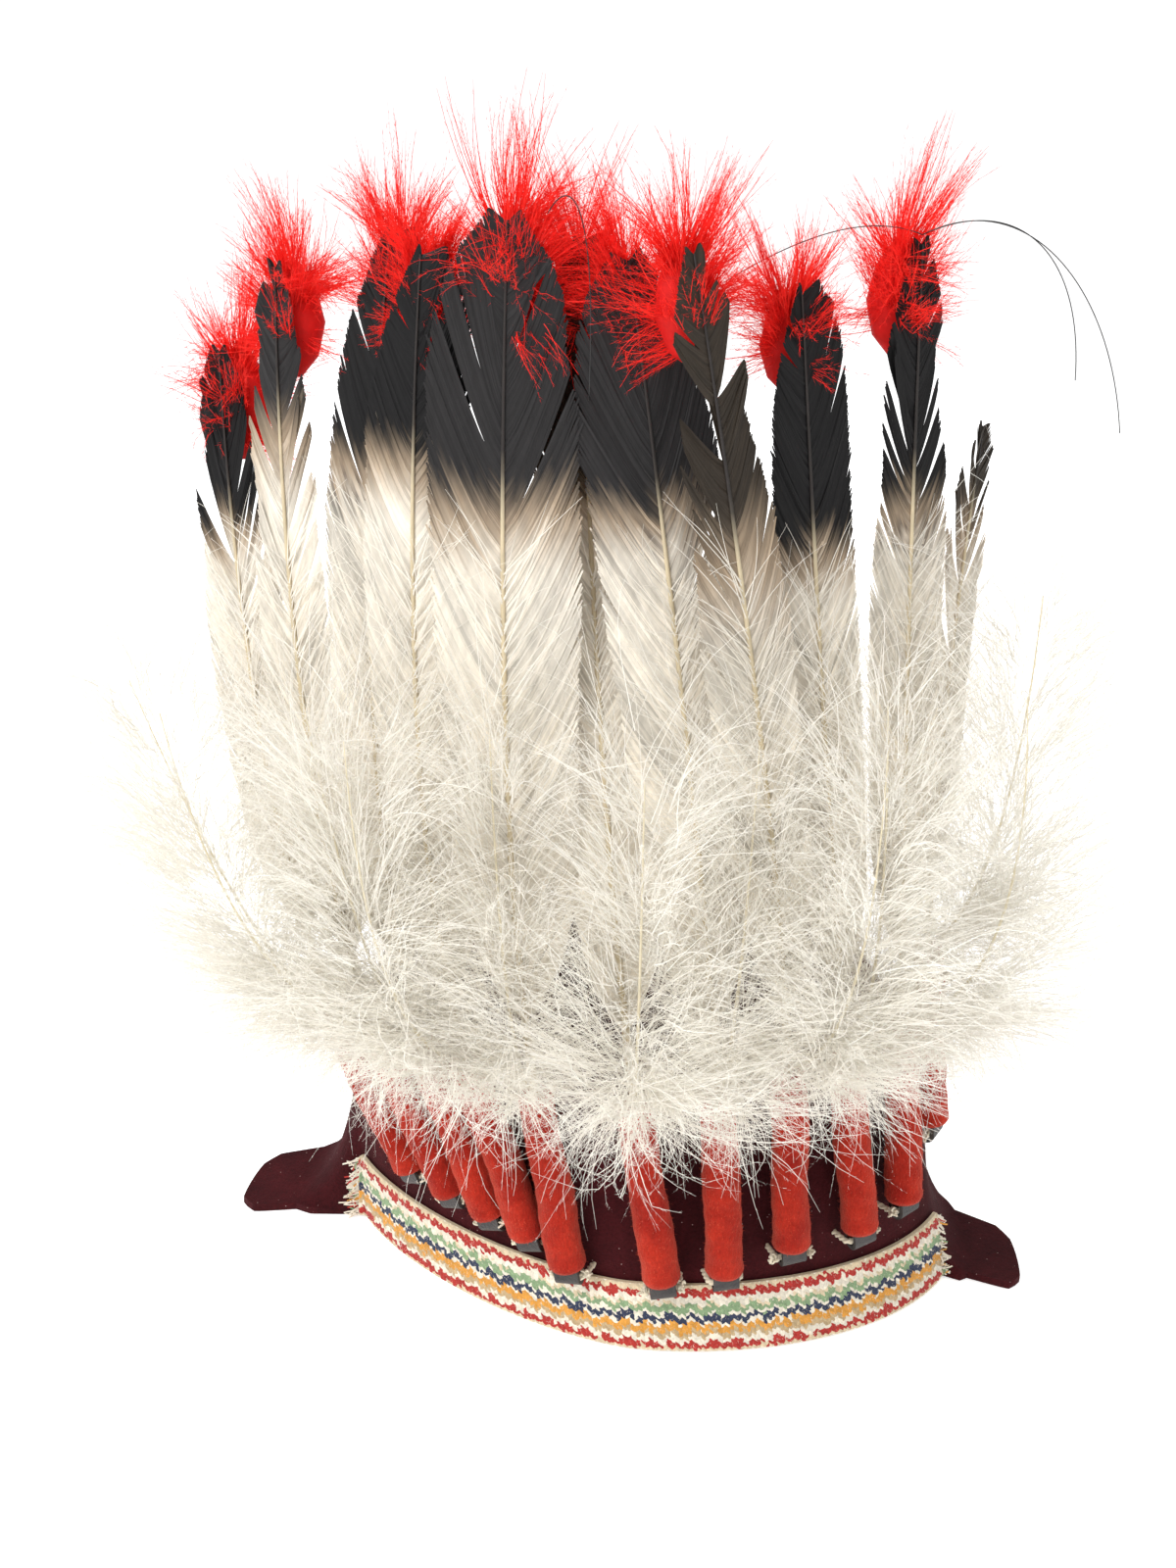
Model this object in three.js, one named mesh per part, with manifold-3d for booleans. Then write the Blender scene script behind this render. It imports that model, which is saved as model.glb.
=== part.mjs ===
// Feathered headdress: a suede skullcap with ear flaps, a woven brow trim, and a crest of wing
// feathers laced on through leather loops. Millimetres, +Z up, the front faces -Y, floor at z = 0.
import * as THREE from 'three';
import { mergeVertices } from 'three/addons/utils/BufferGeometryUtils.js';
import Module from 'manifold-3d';

const wasm = await Module();
wasm.setup();

// ---------------------------------------------------------------- driving dimensions
// The cap, in plan an egg that is narrower in front and fuller on its right. It leans to the left.
const capHalfWidth = 84;
const capFrontDepth = 60;
const capBackDepth = 90;
const capCentreY = 10;
const capHeight = 112;
const capSkin = 2.2;
const frontLeftRoundness = 1.55;
const frontRightRoundness = 1.85;
const backRoundness = 2.1;
const capLean = 8;

// The ear flaps: the lower wall turns outward and forward there and lies on the floor.
const flapAngle = 97;
const flapCoreAngle = 12;
const flapBlendAngle = 4;
const flapBendHeight = 44;
const flapBendReach = 16;
const flapTongue = 15.5;
const flapTipCut = 6;
const flapForward = 25;

// The brow trim.
const trimFloorGap = 0.6;
const trimHeight = 19.8;
const trimThickness = 1.3;
const trimGap = 0.5;
const trimEndAngle = 82;

// Each quill's wrap, loop and lacing.
const wrapRadius = 5.0;
const wrapTopRadius = 4.5;
const wrapLength = 52;
const wrapStandOff = 5.9;
const loopWidth = 6.8;
const loopThickness = 1.1;
const loopHalfDepth = 2.45;
const loopDrop = 5.2;
const loopTuck = 4.6;
const laceRadius = 0.9;
const laceGap = 0.4;
const laceInward = wrapStandOff + capSkin + 2.6;

// Feather, down and tuft.
const quillHalfWidth = 1.3;
const vaneThickness = 0.9;
const quillDepthInWrap = 14;
const partGap = 0.35;

// The height and the share of the rim's size at each level of the wall and the dome.
const domeLevels = [
  { height: 22, size: 0.985 },
  { height: 44, size: 0.955 },
  { height: 62, size: 0.90 },
  { height: 78, size: 0.81 },
  { height: 91, size: 0.68 },
  { height: 101, size: 0.52 },
  { height: 108.5, size: 0.32 },
];

// One row for each feather's place, from the left ear to the right ear.
// angle: place round the cap from the front, degrees. lift: height of the wrap's lower end.
// lean: the wrap's lean towards the left. tipX, tipY, tipZ: the feather's tip.
// turn: the way that the vane faces, degrees from the front, towards the right.
// vane: the vane's width. cut: the outline's kind, below. plumeLean: the down's lean to the left.
// plumeOut: how far in front of the wrap the down stands. plumeWide: half its width.
// tuft: the tuft's size, or 0 where the feather has none.
const stations = [
  { angle: -57.5, lift: 35.5, lean: 25, tipX: -121, tipY: 2, tipZ: 246, turn: -22, vane: 25,
    cut: 'spiked', plumeLean: 24, plumeOut: 12, plumeWide: 15, tuft: 1.05 },
  { angle: -45.5, lift: 34.5, lean: 24, tipX: -103, tipY: -14, tipZ: 271, turn: -18, vane: 20,
    cut: 'narrow', plumeLean: 19, plumeOut: 32, plumeWide: 15, tuft: 1 },
  { angle: -34, lift: 33, lean: 21.5, tipX: -74, tipY: -22, tipZ: 282, turn: -12, vane: 26,
    cut: 'slanted', plumeLean: 13, plumeOut: 12, plumeWide: 13, tuft: 0.95 },
  { angle: -23, lift: 31, lean: 20, tipX: -64, tipY: -39, tipZ: 281, turn: -8, vane: 26,
    cut: 'slanted', plumeLean: 9, plumeOut: 33, plumeWide: 16, tuft: 0.75 },
  { angle: -13, lift: 25, lean: 12, tipX: -44, tipY: -46, tipZ: 291, turn: 0, vane: 34,
    cut: 'broad', plumeLean: 5, plumeOut: 12, plumeWide: 15, tuft: 1.1 },
  { angle: 9, lift: 24.8, lean: 11, tipX: -31, tipY: -20, tipZ: 283, turn: 8, vane: 26,
    cut: 'slanted', plumeLean: 2, plumeOut: 31, plumeWide: 19, tuft: 0.9 },
  { angle: 24, lift: 27, lean: 6, tipX: -18, tipY: -40, tipZ: 283, turn: 18, vane: 32,
    cut: 'broad', plumeLean: 0, plumeOut: 12, plumeWide: 16, tuft: 0.95 },
  { angle: 40, lift: 32.5, lean: 5.5, tipX: -3, tipY: -56, tipZ: 288, turn: 26, vane: 22,
    cut: 'spiked', plumeLean: -1, plumeOut: 33, plumeWide: 17, tuft: 1 },
  { angle: 56, lift: 33, lean: 9.5, tipX: 20.5, tipY: -32, tipZ: 277, turn: 30, vane: 22,
    cut: 'slanted', plumeLean: 4, plumeOut: 12, plumeWide: 15, tuft: 0.85 },
  { angle: 67.5, lift: 36.5, lean: 6.5, tipX: 47, tipY: -12, tipZ: 286, turn: 38, vane: 22,
    cut: 'spiked', plumeLean: 2, plumeOut: 31, plumeWide: 18, tuft: 1 },
  { angle: 80, lift: 51, lean: 7, tipX: 67, tipY: 6, tipZ: 240, turn: 52, vane: 20,
    cut: 'narrow', plumeLean: -2, plumeOut: 14, plumeWide: 17, tuft: 0 },
];

// The vane's outline: at each share of its length, the share of half its width on each side.
const outlines = {
  broad: [
    { at: 0.00, left: 0.30, right: 0.34 },
    { at: 0.14, left: 0.72, right: 0.80 },
    { at: 0.40, left: 0.90, right: 1.00 },
    { at: 0.68, left: 1.00, right: 1.00 },
    { at: 0.84, left: 0.98, right: 0.84 },
    { at: 0.94, left: 0.74, right: 0.60 },
    { at: 1.00, left: 0.24, right: 0.18 },
  ],
  slanted: [
    { at: 0.00, left: 0.30, right: 0.36 },
    { at: 0.14, left: 0.70, right: 0.84 },
    { at: 0.40, left: 0.86, right: 1.00 },
    { at: 0.68, left: 0.92, right: 1.00 },
    { at: 0.85, left: 0.74, right: 0.98 },
    { at: 0.95, left: 0.34, right: 0.80 },
    { at: 1.00, left: 0.04, right: 0.44 },
  ],
  narrow: [
    { at: 0.00, left: 0.34, right: 0.34 },
    { at: 0.14, left: 0.84, right: 0.90 },
    { at: 0.40, left: 1.00, right: 1.00 },
    { at: 0.66, left: 0.92, right: 0.84 },
    { at: 0.84, left: 0.72, right: 0.62 },
    { at: 0.94, left: 0.46, right: 0.40 },
    { at: 1.00, left: 0.12, right: 0.14 },
  ],
  spiked: [
    { at: 0.00, left: 0.32, right: 0.34 },
    { at: 0.14, left: 0.80, right: 0.84 },
    { at: 0.38, left: 1.00, right: 0.96 },
    { at: 0.60, left: 0.96, right: 1.00 },
    { at: 0.70, left: 0.62, right: 0.88 },
    { at: 0.78, left: 0.84, right: 0.58 },
    { at: 0.92, left: 0.56, right: 0.54 },
    { at: 1.00, left: 0.16, right: 0.14 },
  ],
};

// The down plume's body: at each share of its height, its half thickness and half width.
const plumeHeight = 108;
const plumeBody = [
  { at: 0.00, thick: 1.2, wide: 0.10 },
  { at: 0.10, thick: 3.2, wide: 0.46 },
  { at: 0.28, thick: 8.6, wide: 0.92 },
  { at: 0.55, thick: 9.0, wide: 1.00 },
  { at: 0.80, thick: 7.0, wide: 0.78 },
  { at: 0.97, thick: 2.6, wide: 0.30 },
];

// Its locks: where each leaves the body, how far it goes to the side (share of the plume's
// half width) and to the front (millimetres), how far it rises, and its thickness.
const plumeLocks = [
  { from: 0.16, side: -0.62, front: 3, rise: -20, fat: 5.0 },
  { from: 0.18, side: 0.60, front: 2, rise: -17, fat: 5.0 },
  { from: 0.52, side: -1.16, front: 0, rise: 16, fat: 5.6 },
  { from: 0.56, side: 1.16, front: 0, rise: 13, fat: 5.6 },
  { from: 0.80, side: -0.42, front: 1, rise: 32, fat: 5.4 },
  { from: 0.78, side: 0.50, front: -1, rise: 27, fat: 5.4 },
];

// The tip tuft's locks: sideways, backwards and up, and thickness.
const tuftLocks = [
  { side: -1.20, back: 0.20, rise: 10, fat: 4.4 },
  { side: -0.70, back: 0.60, rise: 22, fat: 4.8 },
  { side: 0.06, back: 0.20, rise: 30, fat: 5.0 },
  { side: 0.72, back: 0.60, rise: 20, fat: 4.8 },
  { side: 1.20, back: 0.20, rise: 8, fat: 4.4 },
];

// ---------------------------------------------------------------- small helpers
const up = new THREE.Vector3(0, 0, 1);
const rad = THREE.MathUtils.degToRad;
const vec = (x, y, z) => new THREE.Vector3(x, y, z);

function smooth(t) {
  const s = THREE.MathUtils.clamp(t, 0, 1);
  return s * s * (3 - 2 * s);
}

// A solid from shared corners and triangles, ready for joining and cutting.
function solidFrom(points, triangles) {
  const data = new Float32Array(points.flatMap((p) => [p.x, p.y, p.z]));
  const index = new Uint32Array(triangles.flat());
  return new wasm.Manifold(new wasm.Mesh({ numProp: 3, vertProperties: data, triVerts: index }));
}

// A closed tube with a radius at each point and shut ends.
function tubeSolid(path, radii, sides, widthScale = 1) {
  const points = [];
  const triangles = [];
  let side = vec(1, 0, 0);
  path.forEach((p, i) => {
    const before = path[Math.max(i - 1, 0)];
    const after = path[Math.min(i + 1, path.length - 1)];
    const along = after.clone().sub(before).normalize();
    side = side.clone().addScaledVector(along, -side.dot(along)).normalize();
    const other = along.clone().cross(side);
    for (let k = 0; k < sides; k += 1) {
      const turn = (2 * Math.PI * k) / sides;
      const ring = p.clone();
      ring.addScaledVector(side, radii[i] * widthScale * Math.cos(turn));
      ring.addScaledVector(other, radii[i] * Math.sin(turn));
      points.push(ring);
    }
  });
  for (let i = 0; i + 1 < path.length; i += 1) {
    for (let k = 0; k < sides; k += 1) {
      const a = i * sides + k;
      const b = i * sides + ((k + 1) % sides);
      triangles.push([a, b, b + sides], [a, b + sides, a + sides]);
    }
  }
  const last = (path.length - 1) * sides;
  for (let k = 1; k + 1 < sides; k += 1) {
    triangles.push([0, k + 1, k], [last, last + k, last + k + 1]);
  }
  return solidFrom(points, triangles);
}

// A skin: a grid of points with their outward directions, thickened inward, where cells exist.
function skinSolid(grid, normals, present, thickness, closed) {
  const rows = grid.length;
  const columns = grid[0].length;
  const points = [];
  const number = new Map();
  const cell = (r, c) => {
    if (r < 0 || r >= rows - 1) return false;
    if (!closed && (c < 0 || c >= columns - 1)) return false;
    return present(r, (c + columns) % columns);
  };
  const corner = (r, c, inner) => {
    const column = closed ? (c + columns) % columns : c;
    const key = `${r},${column},${inner}`;
    if (!number.has(key)) {
      const p = grid[r][column].clone();
      if (inner) p.addScaledVector(normals[r][column], -thickness);
      number.set(key, points.length);
      points.push(p);
    }
    return number.get(key);
  };
  const triangles = [];
  const quad = (a, b, c, d) => triangles.push([a, c, b], [a, d, c]);
  const span = closed ? columns : columns - 1;
  for (let r = 0; r + 1 < rows; r += 1) {
    for (let c = 0; c < span; c += 1) {
      if (!cell(r, c)) continue;
      const o = [corner(r, c, 0), corner(r, c + 1, 0), corner(r + 1, c + 1, 0), corner(r + 1, c, 0)];
      const n = [corner(r, c, 1), corner(r, c + 1, 1), corner(r + 1, c + 1, 1), corner(r + 1, c, 1)];
      quad(o[0], o[1], o[2], o[3]);
      quad(n[2], n[1], n[0], n[3]);
      if (!cell(r - 1, c)) quad(o[1], o[0], n[0], n[1]);
      if (!cell(r + 1, c)) quad(o[3], o[2], n[2], n[3]);
      if (!cell(r, c - 1)) quad(o[0], o[3], n[3], n[0]);
      if (!cell(r, c + 1)) quad(o[2], o[1], n[1], n[2]);
    }
  }
  return { points, triangles };
}

// ---------------------------------------------------------------- the cap's surface
// The rim's distance from the cap's centre at an angle from the front.
function rimRadius(angle, grow = 0) {
  const inFront = Math.cos(rad(angle)) > 0;
  const depth = (inFront ? capFrontDepth : capBackDepth) + grow;
  const frontRoundness = angle > 0 ? frontRightRoundness : frontLeftRoundness;
  const power = inFront ? frontRoundness : backRoundness;
  const across = Math.abs(Math.sin(rad(angle))) / (capHalfWidth + grow);
  const along = Math.abs(Math.cos(rad(angle))) / depth;
  return (across ** power + along ** power) ** (-1 / power);
}

// A point at an angle, distance and height, moved over by the cap's lean.
function planPoint(angle, radius, z) {
  const x = radius * Math.sin(rad(angle)) - z * Math.tan(rad(capLean));
  return vec(x, capCentreY - radius * Math.cos(rad(angle)), z);
}

// The share of the rim's size at a height on the wall.
function wallSize(height) {
  const levels = [{ height: 0, size: 1 }, ...domeLevels];
  for (let i = 0; i + 1 < levels.length; i += 1) {
    if (height <= levels[i + 1].height) {
      const t = (height - levels[i].height) / (levels[i + 1].height - levels[i].height);
      return THREE.MathUtils.lerp(levels[i].size, levels[i + 1].size, t);
    }
  }
  return 0;
}

// How much the wall at an angle is turned out into a flap: 1 in its middle, 0 away from it.
function flapShare(angle) {
  const away = Math.abs(Math.abs(angle) - flapAngle) - flapCoreAngle;
  return 1 - smooth(away / flapBlendAngle);
}

// The level direction in which the flap on an angle's side points.
function flapDirection(angle) {
  const forward = rad(flapForward);
  return vec(Math.sign(angle) * Math.cos(forward), -Math.sin(forward), 0);
}

// A point on the wall's outer side below the bend line. down is 0 at the bend line, 1 at the rim.
function wallPoint(angle, down) {
  const share = flapShare(angle);
  const height = flapBendHeight * (1 - down);
  const straight = planPoint(angle, rimRadius(angle) * wallSize(height), height);
  const top = planPoint(angle, rimRadius(angle) * wallSize(flapBendHeight), flapBendHeight);
  const turn = (Math.PI / 2) * down;
  const reach = flapBendReach * (1 - Math.cos(turn));
  const bent = top.clone();
  bent.addScaledVector(flapDirection(angle), reach + 1.5 * down);
  bent.z = capSkin + (flapBendHeight - capSkin) * (1 - Math.sin(turn));
  return straight.lerp(bent, share);
}

// A grid's outward direction at each point, from its neighbours.
function gridNormals(grid, closed) {
  const rows = grid.length;
  const columns = grid[0].length;
  return grid.map((row, r) => row.map((p, c) => {
    const left = closed ? row[(c + columns - 1) % columns] : row[Math.max(c - 1, 0)];
    const right = closed ? row[(c + 1) % columns] : row[Math.min(c + 1, columns - 1)];
    const above = grid[Math.max(r - 1, 0)][c];
    const below = grid[Math.min(r + 1, rows - 1)][c];
    return right.clone().sub(left).cross(above.clone().sub(below)).normalize();
  }));
}

// Half of the cap's columns, front to back; the other half mirrors them.
const halfAngles = [12, 25, 38, 50, 60, 70, 77, 82, 85, 90, 97, 104, 109, 113, 132, 155];
const capAngles = [...halfAngles.map((a) => -a).reverse(), 0, ...halfAngles, 180];
const trimTop = 1 - (trimFloorGap + trimHeight) / flapBendHeight;
const wallSteps = [0.2, 0.37, trimTop, 0.76, 1];

function capSolid() {
  const grid = [];
  for (const level of [...domeLevels].reverse()) {
    if (level.height > flapBendHeight) {
      grid.push(capAngles.map((a) => planPoint(a, rimRadius(a) * level.size, level.height)));
    }
  }
  grid.push(capAngles.map((a) => wallPoint(a, 0)));
  for (const down of wallSteps) {
    grid.push(capAngles.map((a) => wallPoint(a, down)));
  }
  const rimRow = grid.length - 1;
  const rim = grid[rimRow];
  const inCore = (a) => Math.abs(Math.abs(a) - flapAngle) <= flapCoreAngle;
  const isTipCorner = (a) => Math.abs(Math.abs(a) - flapAngle) > flapCoreAngle - 1;
  for (const part of [0.4, 1]) {
    grid.push(rim.map((p, c) => {
      if (!inCore(capAngles[c])) return p.clone();
      const cut = part === 1 && isTipCorner(capAngles[c]) ? flapTipCut * 0.5 : 0;
      const out = p.clone();
      out.addScaledVector(flapDirection(capAngles[c]), flapTongue * part - cut);
      out.y -= (p.y - rim[capAngles.indexOf(Math.sign(capAngles[c]) * flapAngle)].y) * 0.1 * part;
      out.z = capSkin;
      return out;
    }));
  }
  const normals = gridNormals(grid, true);
  capAngles.forEach((a, c) => {
    const share = flapShare(a);
    const plain = planPoint(a, 1, 0).sub(vec(0, capCentreY, 0)).normalize();
    normals[rimRow][c] = plain.lerp(up, share).normalize();
    rim[c].z = capSkin * normals[rimRow][c].z;
    normals[rimRow + 1][c] = up.clone();
    normals[rimRow + 2][c] = up.clone();
  });
  const present = (r, c) => {
    if (r < rimRow) return true;
    const next = (c + 1) % capAngles.length;
    return inCore(capAngles[c]) && inCore(capAngles[next]);
  };
  const skin = skinSolid(grid, normals, present, capSkin, true);
  return closeCrown(skin, grid[0].length);
}

// Shuts the small round opening at the crown, outside and inside.
function closeCrown(skin, columns) {
  const { points, triangles } = skin;
  const isEdge = (t) => t.every((i) => points[i].z > domeLevels.at(-1).height - capSkin - 0.5);
  const kept = triangles.filter((t) => !isEdge(t));
  const outer = [];
  const inner = [];
  points.forEach((p, i) => {
    if (p.z < domeLevels.at(-1).height - capSkin - 0.5) return;
    (p.z > domeLevels.at(-1).height - 0.5 ? outer : inner).push(i);
  });
  const around = (a, b) => Math.atan2(points[a].x, capCentreY - points[a].y)
    - Math.atan2(points[b].x, capCentreY - points[b].y);
  outer.sort(around);
  inner.sort(around);
  const top = points.push(planPoint(0, 0, capHeight)) - 1;
  const under = points.push(planPoint(0, 0, capHeight - capSkin)) - 1;
  for (let c = 0; c < columns; c += 1) {
    const next = (c + 1) % columns;
    kept.push([top, outer[c], outer[next]]);
    kept.push([under, inner[next], inner[c]]);
  }
  return solidFrom(points, kept);
}

// ---------------------------------------------------------------- the brow trim
function browTrimSolid() {
  const angles = capAngles.filter((a) => Math.abs(a) <= trimEndAngle);
  const bottom = (trimFloorGap / flapBendHeight) / (1 - wallSteps.at(-2));
  const rows = [
    angles.map((a) => wallPoint(a, trimTop)),
    angles.map((a) => wallPoint(a, wallSteps.at(-2))),
    angles.map((a) => wallPoint(a, 1).lerp(wallPoint(a, wallSteps.at(-2)), bottom)),
  ];
  const normals = gridNormals(rows, false);
  const face = rows.map((row, r) => row.map((p, c) => (
    p.clone().addScaledVector(normals[r][c], trimGap + trimThickness))));
  const skin = skinSolid(face, normals, () => true, trimThickness, false);
  return solidFrom(skin.points, skin.triangles);
}

// ---------------------------------------------------------------- one place on the cap
// Where a quill's wrap stands: its lower end, its axis, and the directions outward and along.
function placeOf(station) {
  const radiusAt = (a) => rimRadius(a) * wallSize(station.lift);
  const before = planPoint(station.angle - 1, radiusAt(station.angle - 1), 0);
  const after = planPoint(station.angle + 1, radiusAt(station.angle + 1), 0);
  const along = after.sub(before).normalize();
  const outward = along.clone().cross(up);
  const foot = planPoint(station.angle, radiusAt(station.angle), station.lift);
  foot.addScaledVector(outward, wrapStandOff);
  const axis = vec(-Math.tan(rad(station.lean)), 0, 1).normalize();
  const across = axis.clone().cross(outward).normalize();
  const out = across.clone().cross(axis).normalize();
  return { foot, axis, across, out, outward, top: foot.clone().addScaledVector(axis, wrapLength) };
}

// The points of a feather's middle line from inside its wrap to its tip.
function quillLine(station, place) {
  const tip = vec(station.tipX, station.tipY, station.tipZ);
  const start = place.foot.clone().addScaledVector(place.axis, wrapLength - quillDepthInWrap);
  const bend = place.top.clone().addScaledVector(place.axis, 0.3 * tip.distanceTo(place.top));
  return new THREE.QuadraticBezierCurve3(start, bend, tip);
}

function wrapSolid(place, quill) {
  const steps = [0, 0.08, 0.92, 1];
  const swell = [0.9, 1, 1, 0.86];
  const path = steps.map((t) => place.foot.clone().addScaledVector(place.axis, wrapLength * t));
  const radii = steps.map((t, i) => swell[i] * THREE.MathUtils.lerp(wrapRadius, wrapTopRadius, t));
  const body = tubeSolid(path, radii, 8);
  const pocket = loopPocket(place);
  const holeEnd = quill.getPointAt(0).addScaledVector(place.axis, -partGap);
  const hole = tubeSolid([holeEnd, quill.getPointAt(0.1)], [2.55, 2.55], 5);
  return body.subtract(pocket).subtract(hole).asOriginal().simplify(0.02);
}

// A block given by its middle, its three directions and its half sizes.
function blockSolid(middle, directions, halves) {
  const points = [];
  for (const i of [-1, 1]) {
    for (const j of [-1, 1]) {
      for (const k of [-1, 1]) {
        const p = middle.clone();
        p.addScaledVector(directions[0], i * halves[0]);
        p.addScaledVector(directions[1], j * halves[1]);
        p.addScaledVector(directions[2], k * halves[2]);
        points.push(p);
      }
    }
  }
  const faces = [[0, 1, 3, 2], [4, 6, 7, 5], [0, 4, 5, 1], [2, 3, 7, 6], [0, 2, 6, 4], [1, 5, 7, 3]];
  const handed = directions[0].clone().cross(directions[1]).dot(directions[2]) > 0;
  const triangles = faces.flatMap(([a, b, c, d]) => (
    handed ? [[a, b, c], [a, c, d]] : [[a, c, b], [a, d, c]]));
  return solidFrom(points, triangles);
}

function loopPocket(place) {
  const depth = loopTuck + partGap;
  const middle = place.foot.clone().addScaledVector(place.axis, depth / 2 - 0.5);
  const halves = [loopHalfDepth + partGap, loopWidth / 2 + partGap, depth / 2 + 0.5];
  return blockSolid(middle, [place.out, place.across, place.axis], halves);
}

// The loop: a strip bent to a U, its two legs tucked up into the wrap.
function loopSolid(place) {
  const bendCentre = -(loopDrop - loopHalfDepth);
  const turns = [0, 45, 90, 135, 180];
  const levels = [{ turn: 0, rise: loopTuck }, ...turns.map((turn) => ({ turn, rise: bendCentre })),
    { turn: 180, rise: loopTuck }];
  const face = (half) => levels.map(({ turn, rise }) => [-1, 1].map((side) => {
    const p = place.foot.clone();
    p.addScaledVector(place.out, half * Math.cos(rad(turn)));
    p.addScaledVector(place.axis, rise - half * Math.sin(rad(turn)));
    p.addScaledVector(place.across, (side * loopWidth) / 2);
    return p;
  }));
  return sandwichSolid(face(loopHalfDepth), face(loopHalfDepth - loopThickness));
}

// Turns a solid's triangles over if they face inward.
function facingOut(points, triangles) {
  const solid = solidFrom(points, triangles);
  if (solid.volume() > 0) return solid;
  return solidFrom(points, triangles.map(([a, b, c]) => [a, c, b]));
}

// ---------------------------------------------------------------- the lacing cord
function lacePath(places) {
  const drop = loopDrop - loopHalfDepth;
  const reach = loopWidth / 2 + 0.8;
  const path = [];
  places.forEach((place) => {
    const hold = place.foot.clone().addScaledVector(place.axis, -drop);
    const flat = place.across.clone().setZ(0).normalize();
    for (const side of [-1, 1]) {
      const outside = hold.clone().addScaledVector(place.across, side * reach);
      const inside = outside.clone().addScaledVector(place.outward, -laceInward);
      inside.addScaledVector(flat, side * 0.5);
      path.push(...(side < 0 ? [inside, outside] : [outside, inside]));
    }
  });
  return path;
}

function laceSolid(places, radius, sides) {
  const path = lacePath(places);
  return tubeSolid(path, path.map(() => radius), sides);
}

// ---------------------------------------------------------------- feathers
// A stiff feather: a quill, then a vane cupped about its thicker middle.
function featherSolid(station, place) {
  const line = quillLine(station, place);
  const length = line.getLength();
  const vaneStart = (quillDepthInWrap + 22) / length;
  const facing = vec(Math.sin(rad(station.turn)), -Math.cos(rad(station.turn)), 0);
  const rows = [
    { at: 0, left: 0, right: 0 },
    { at: quillDepthInWrap / length, left: 0, right: 0 },
    ...outlines[station.cut].map((row) => (
      { at: vaneStart + row.at * (1 - vaneStart), left: row.left, right: row.right, vane: row.at })),
  ];
  const front = [];
  const back = [];
  for (const row of rows) {
    const p = line.getPointAt(Math.min(row.at, 1));
    const along = line.getTangentAt(Math.min(row.at, 1));
    const face = facing.clone().addScaledVector(along, -facing.dot(along)).normalize();
    const right = along.clone().cross(face).normalize().negate();
    if (right.dot(vec(Math.cos(rad(station.turn)), Math.sin(rad(station.turn)), 0)) < 0) right.negate();
    const isQuill = row.vane === undefined;
    const core = isQuill ? quillHalfWidth : THREE.MathUtils.lerp(1.25, 0.5, row.vane);
    const edge = isQuill ? 0.55 : vaneThickness / 2;
    const leftEnd = isQuill ? quillHalfWidth : (row.left * station.vane) / 2;
    const rightEnd = isQuill ? quillHalfWidth : (row.right * station.vane) / 2;
    const shaft = isQuill ? quillHalfWidth * 0.6 : Math.min(1.5, leftEnd * 0.5, rightEnd * 0.5);
    const offsets = [-leftEnd, -shaft, shaft, rightEnd];
    const thick = [edge, core, core, edge];
    const frontRow = [];
    const backRow = [];
    offsets.forEach((x, k) => {
      const cup = isQuill ? 0 : 0.006 * x * x;
      const middle = p.clone().addScaledVector(right, x).addScaledVector(face, -cup);
      frontRow.push(middle.clone().addScaledVector(face, thick[k]));
      backRow.push(middle.clone().addScaledVector(face, -thick[k]));
    });
    front.push(frontRow);
    back.push(backRow);
  }
  return sandwichSolid(front, back);
}

// A solid between two grids of the same size.
function sandwichSolid(front, back) {
  const rows = front.length;
  const columns = front[0].length;
  const points = [...front.flat(), ...back.flat()];
  const half = rows * columns;
  const triangles = [];
  const at = (r, c) => r * columns + c;
  for (let r = 0; r + 1 < rows; r += 1) {
    for (let c = 0; c + 1 < columns; c += 1) {
      triangles.push([at(r, c), at(r, c + 1), at(r + 1, c + 1)]);
      triangles.push([at(r, c), at(r + 1, c + 1), at(r + 1, c)]);
      triangles.push([half + at(r, c), half + at(r + 1, c + 1), half + at(r, c + 1)]);
      triangles.push([half + at(r, c), half + at(r + 1, c), half + at(r + 1, c + 1)]);
    }
  }
  const border = [];
  for (let c = 0; c < columns; c += 1) border.push(at(0, c));
  for (let r = 1; r < rows; r += 1) border.push(at(r, columns - 1));
  for (let c = columns - 2; c >= 0; c -= 1) border.push(at(rows - 1, c));
  for (let r = rows - 2; r > 0; r -= 1) border.push(at(r, 0));
  border.forEach((a, i) => {
    const b = border[(i + 1) % border.length];
    triangles.push([b, a, a + half], [b, a + half, b + half]);
  });
  return facingOut(points, triangles);
}

// ---------------------------------------------------------------- down and tufts
// One lock of down: a fat strip that swells and then runs out to a curled end.
function lockSolid(start, reach, lift, fat, curl, sides) {
  const path = [];
  for (const t of [0, 0.6, 1]) {
    const p = start.clone();
    p.addScaledVector(reach, t);
    p.addScaledVector(up, lift * t - curl * t * t * t);
    path.push(p);
  }
  const radii = [0.7, 1, 0.16].map((share) => share * fat);
  return tubeSolid(path, radii, sides);
}

function joinAll(solids, tolerance) {
  return wasm.Manifold.union(solids).asOriginal().simplify(tolerance);
}

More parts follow.
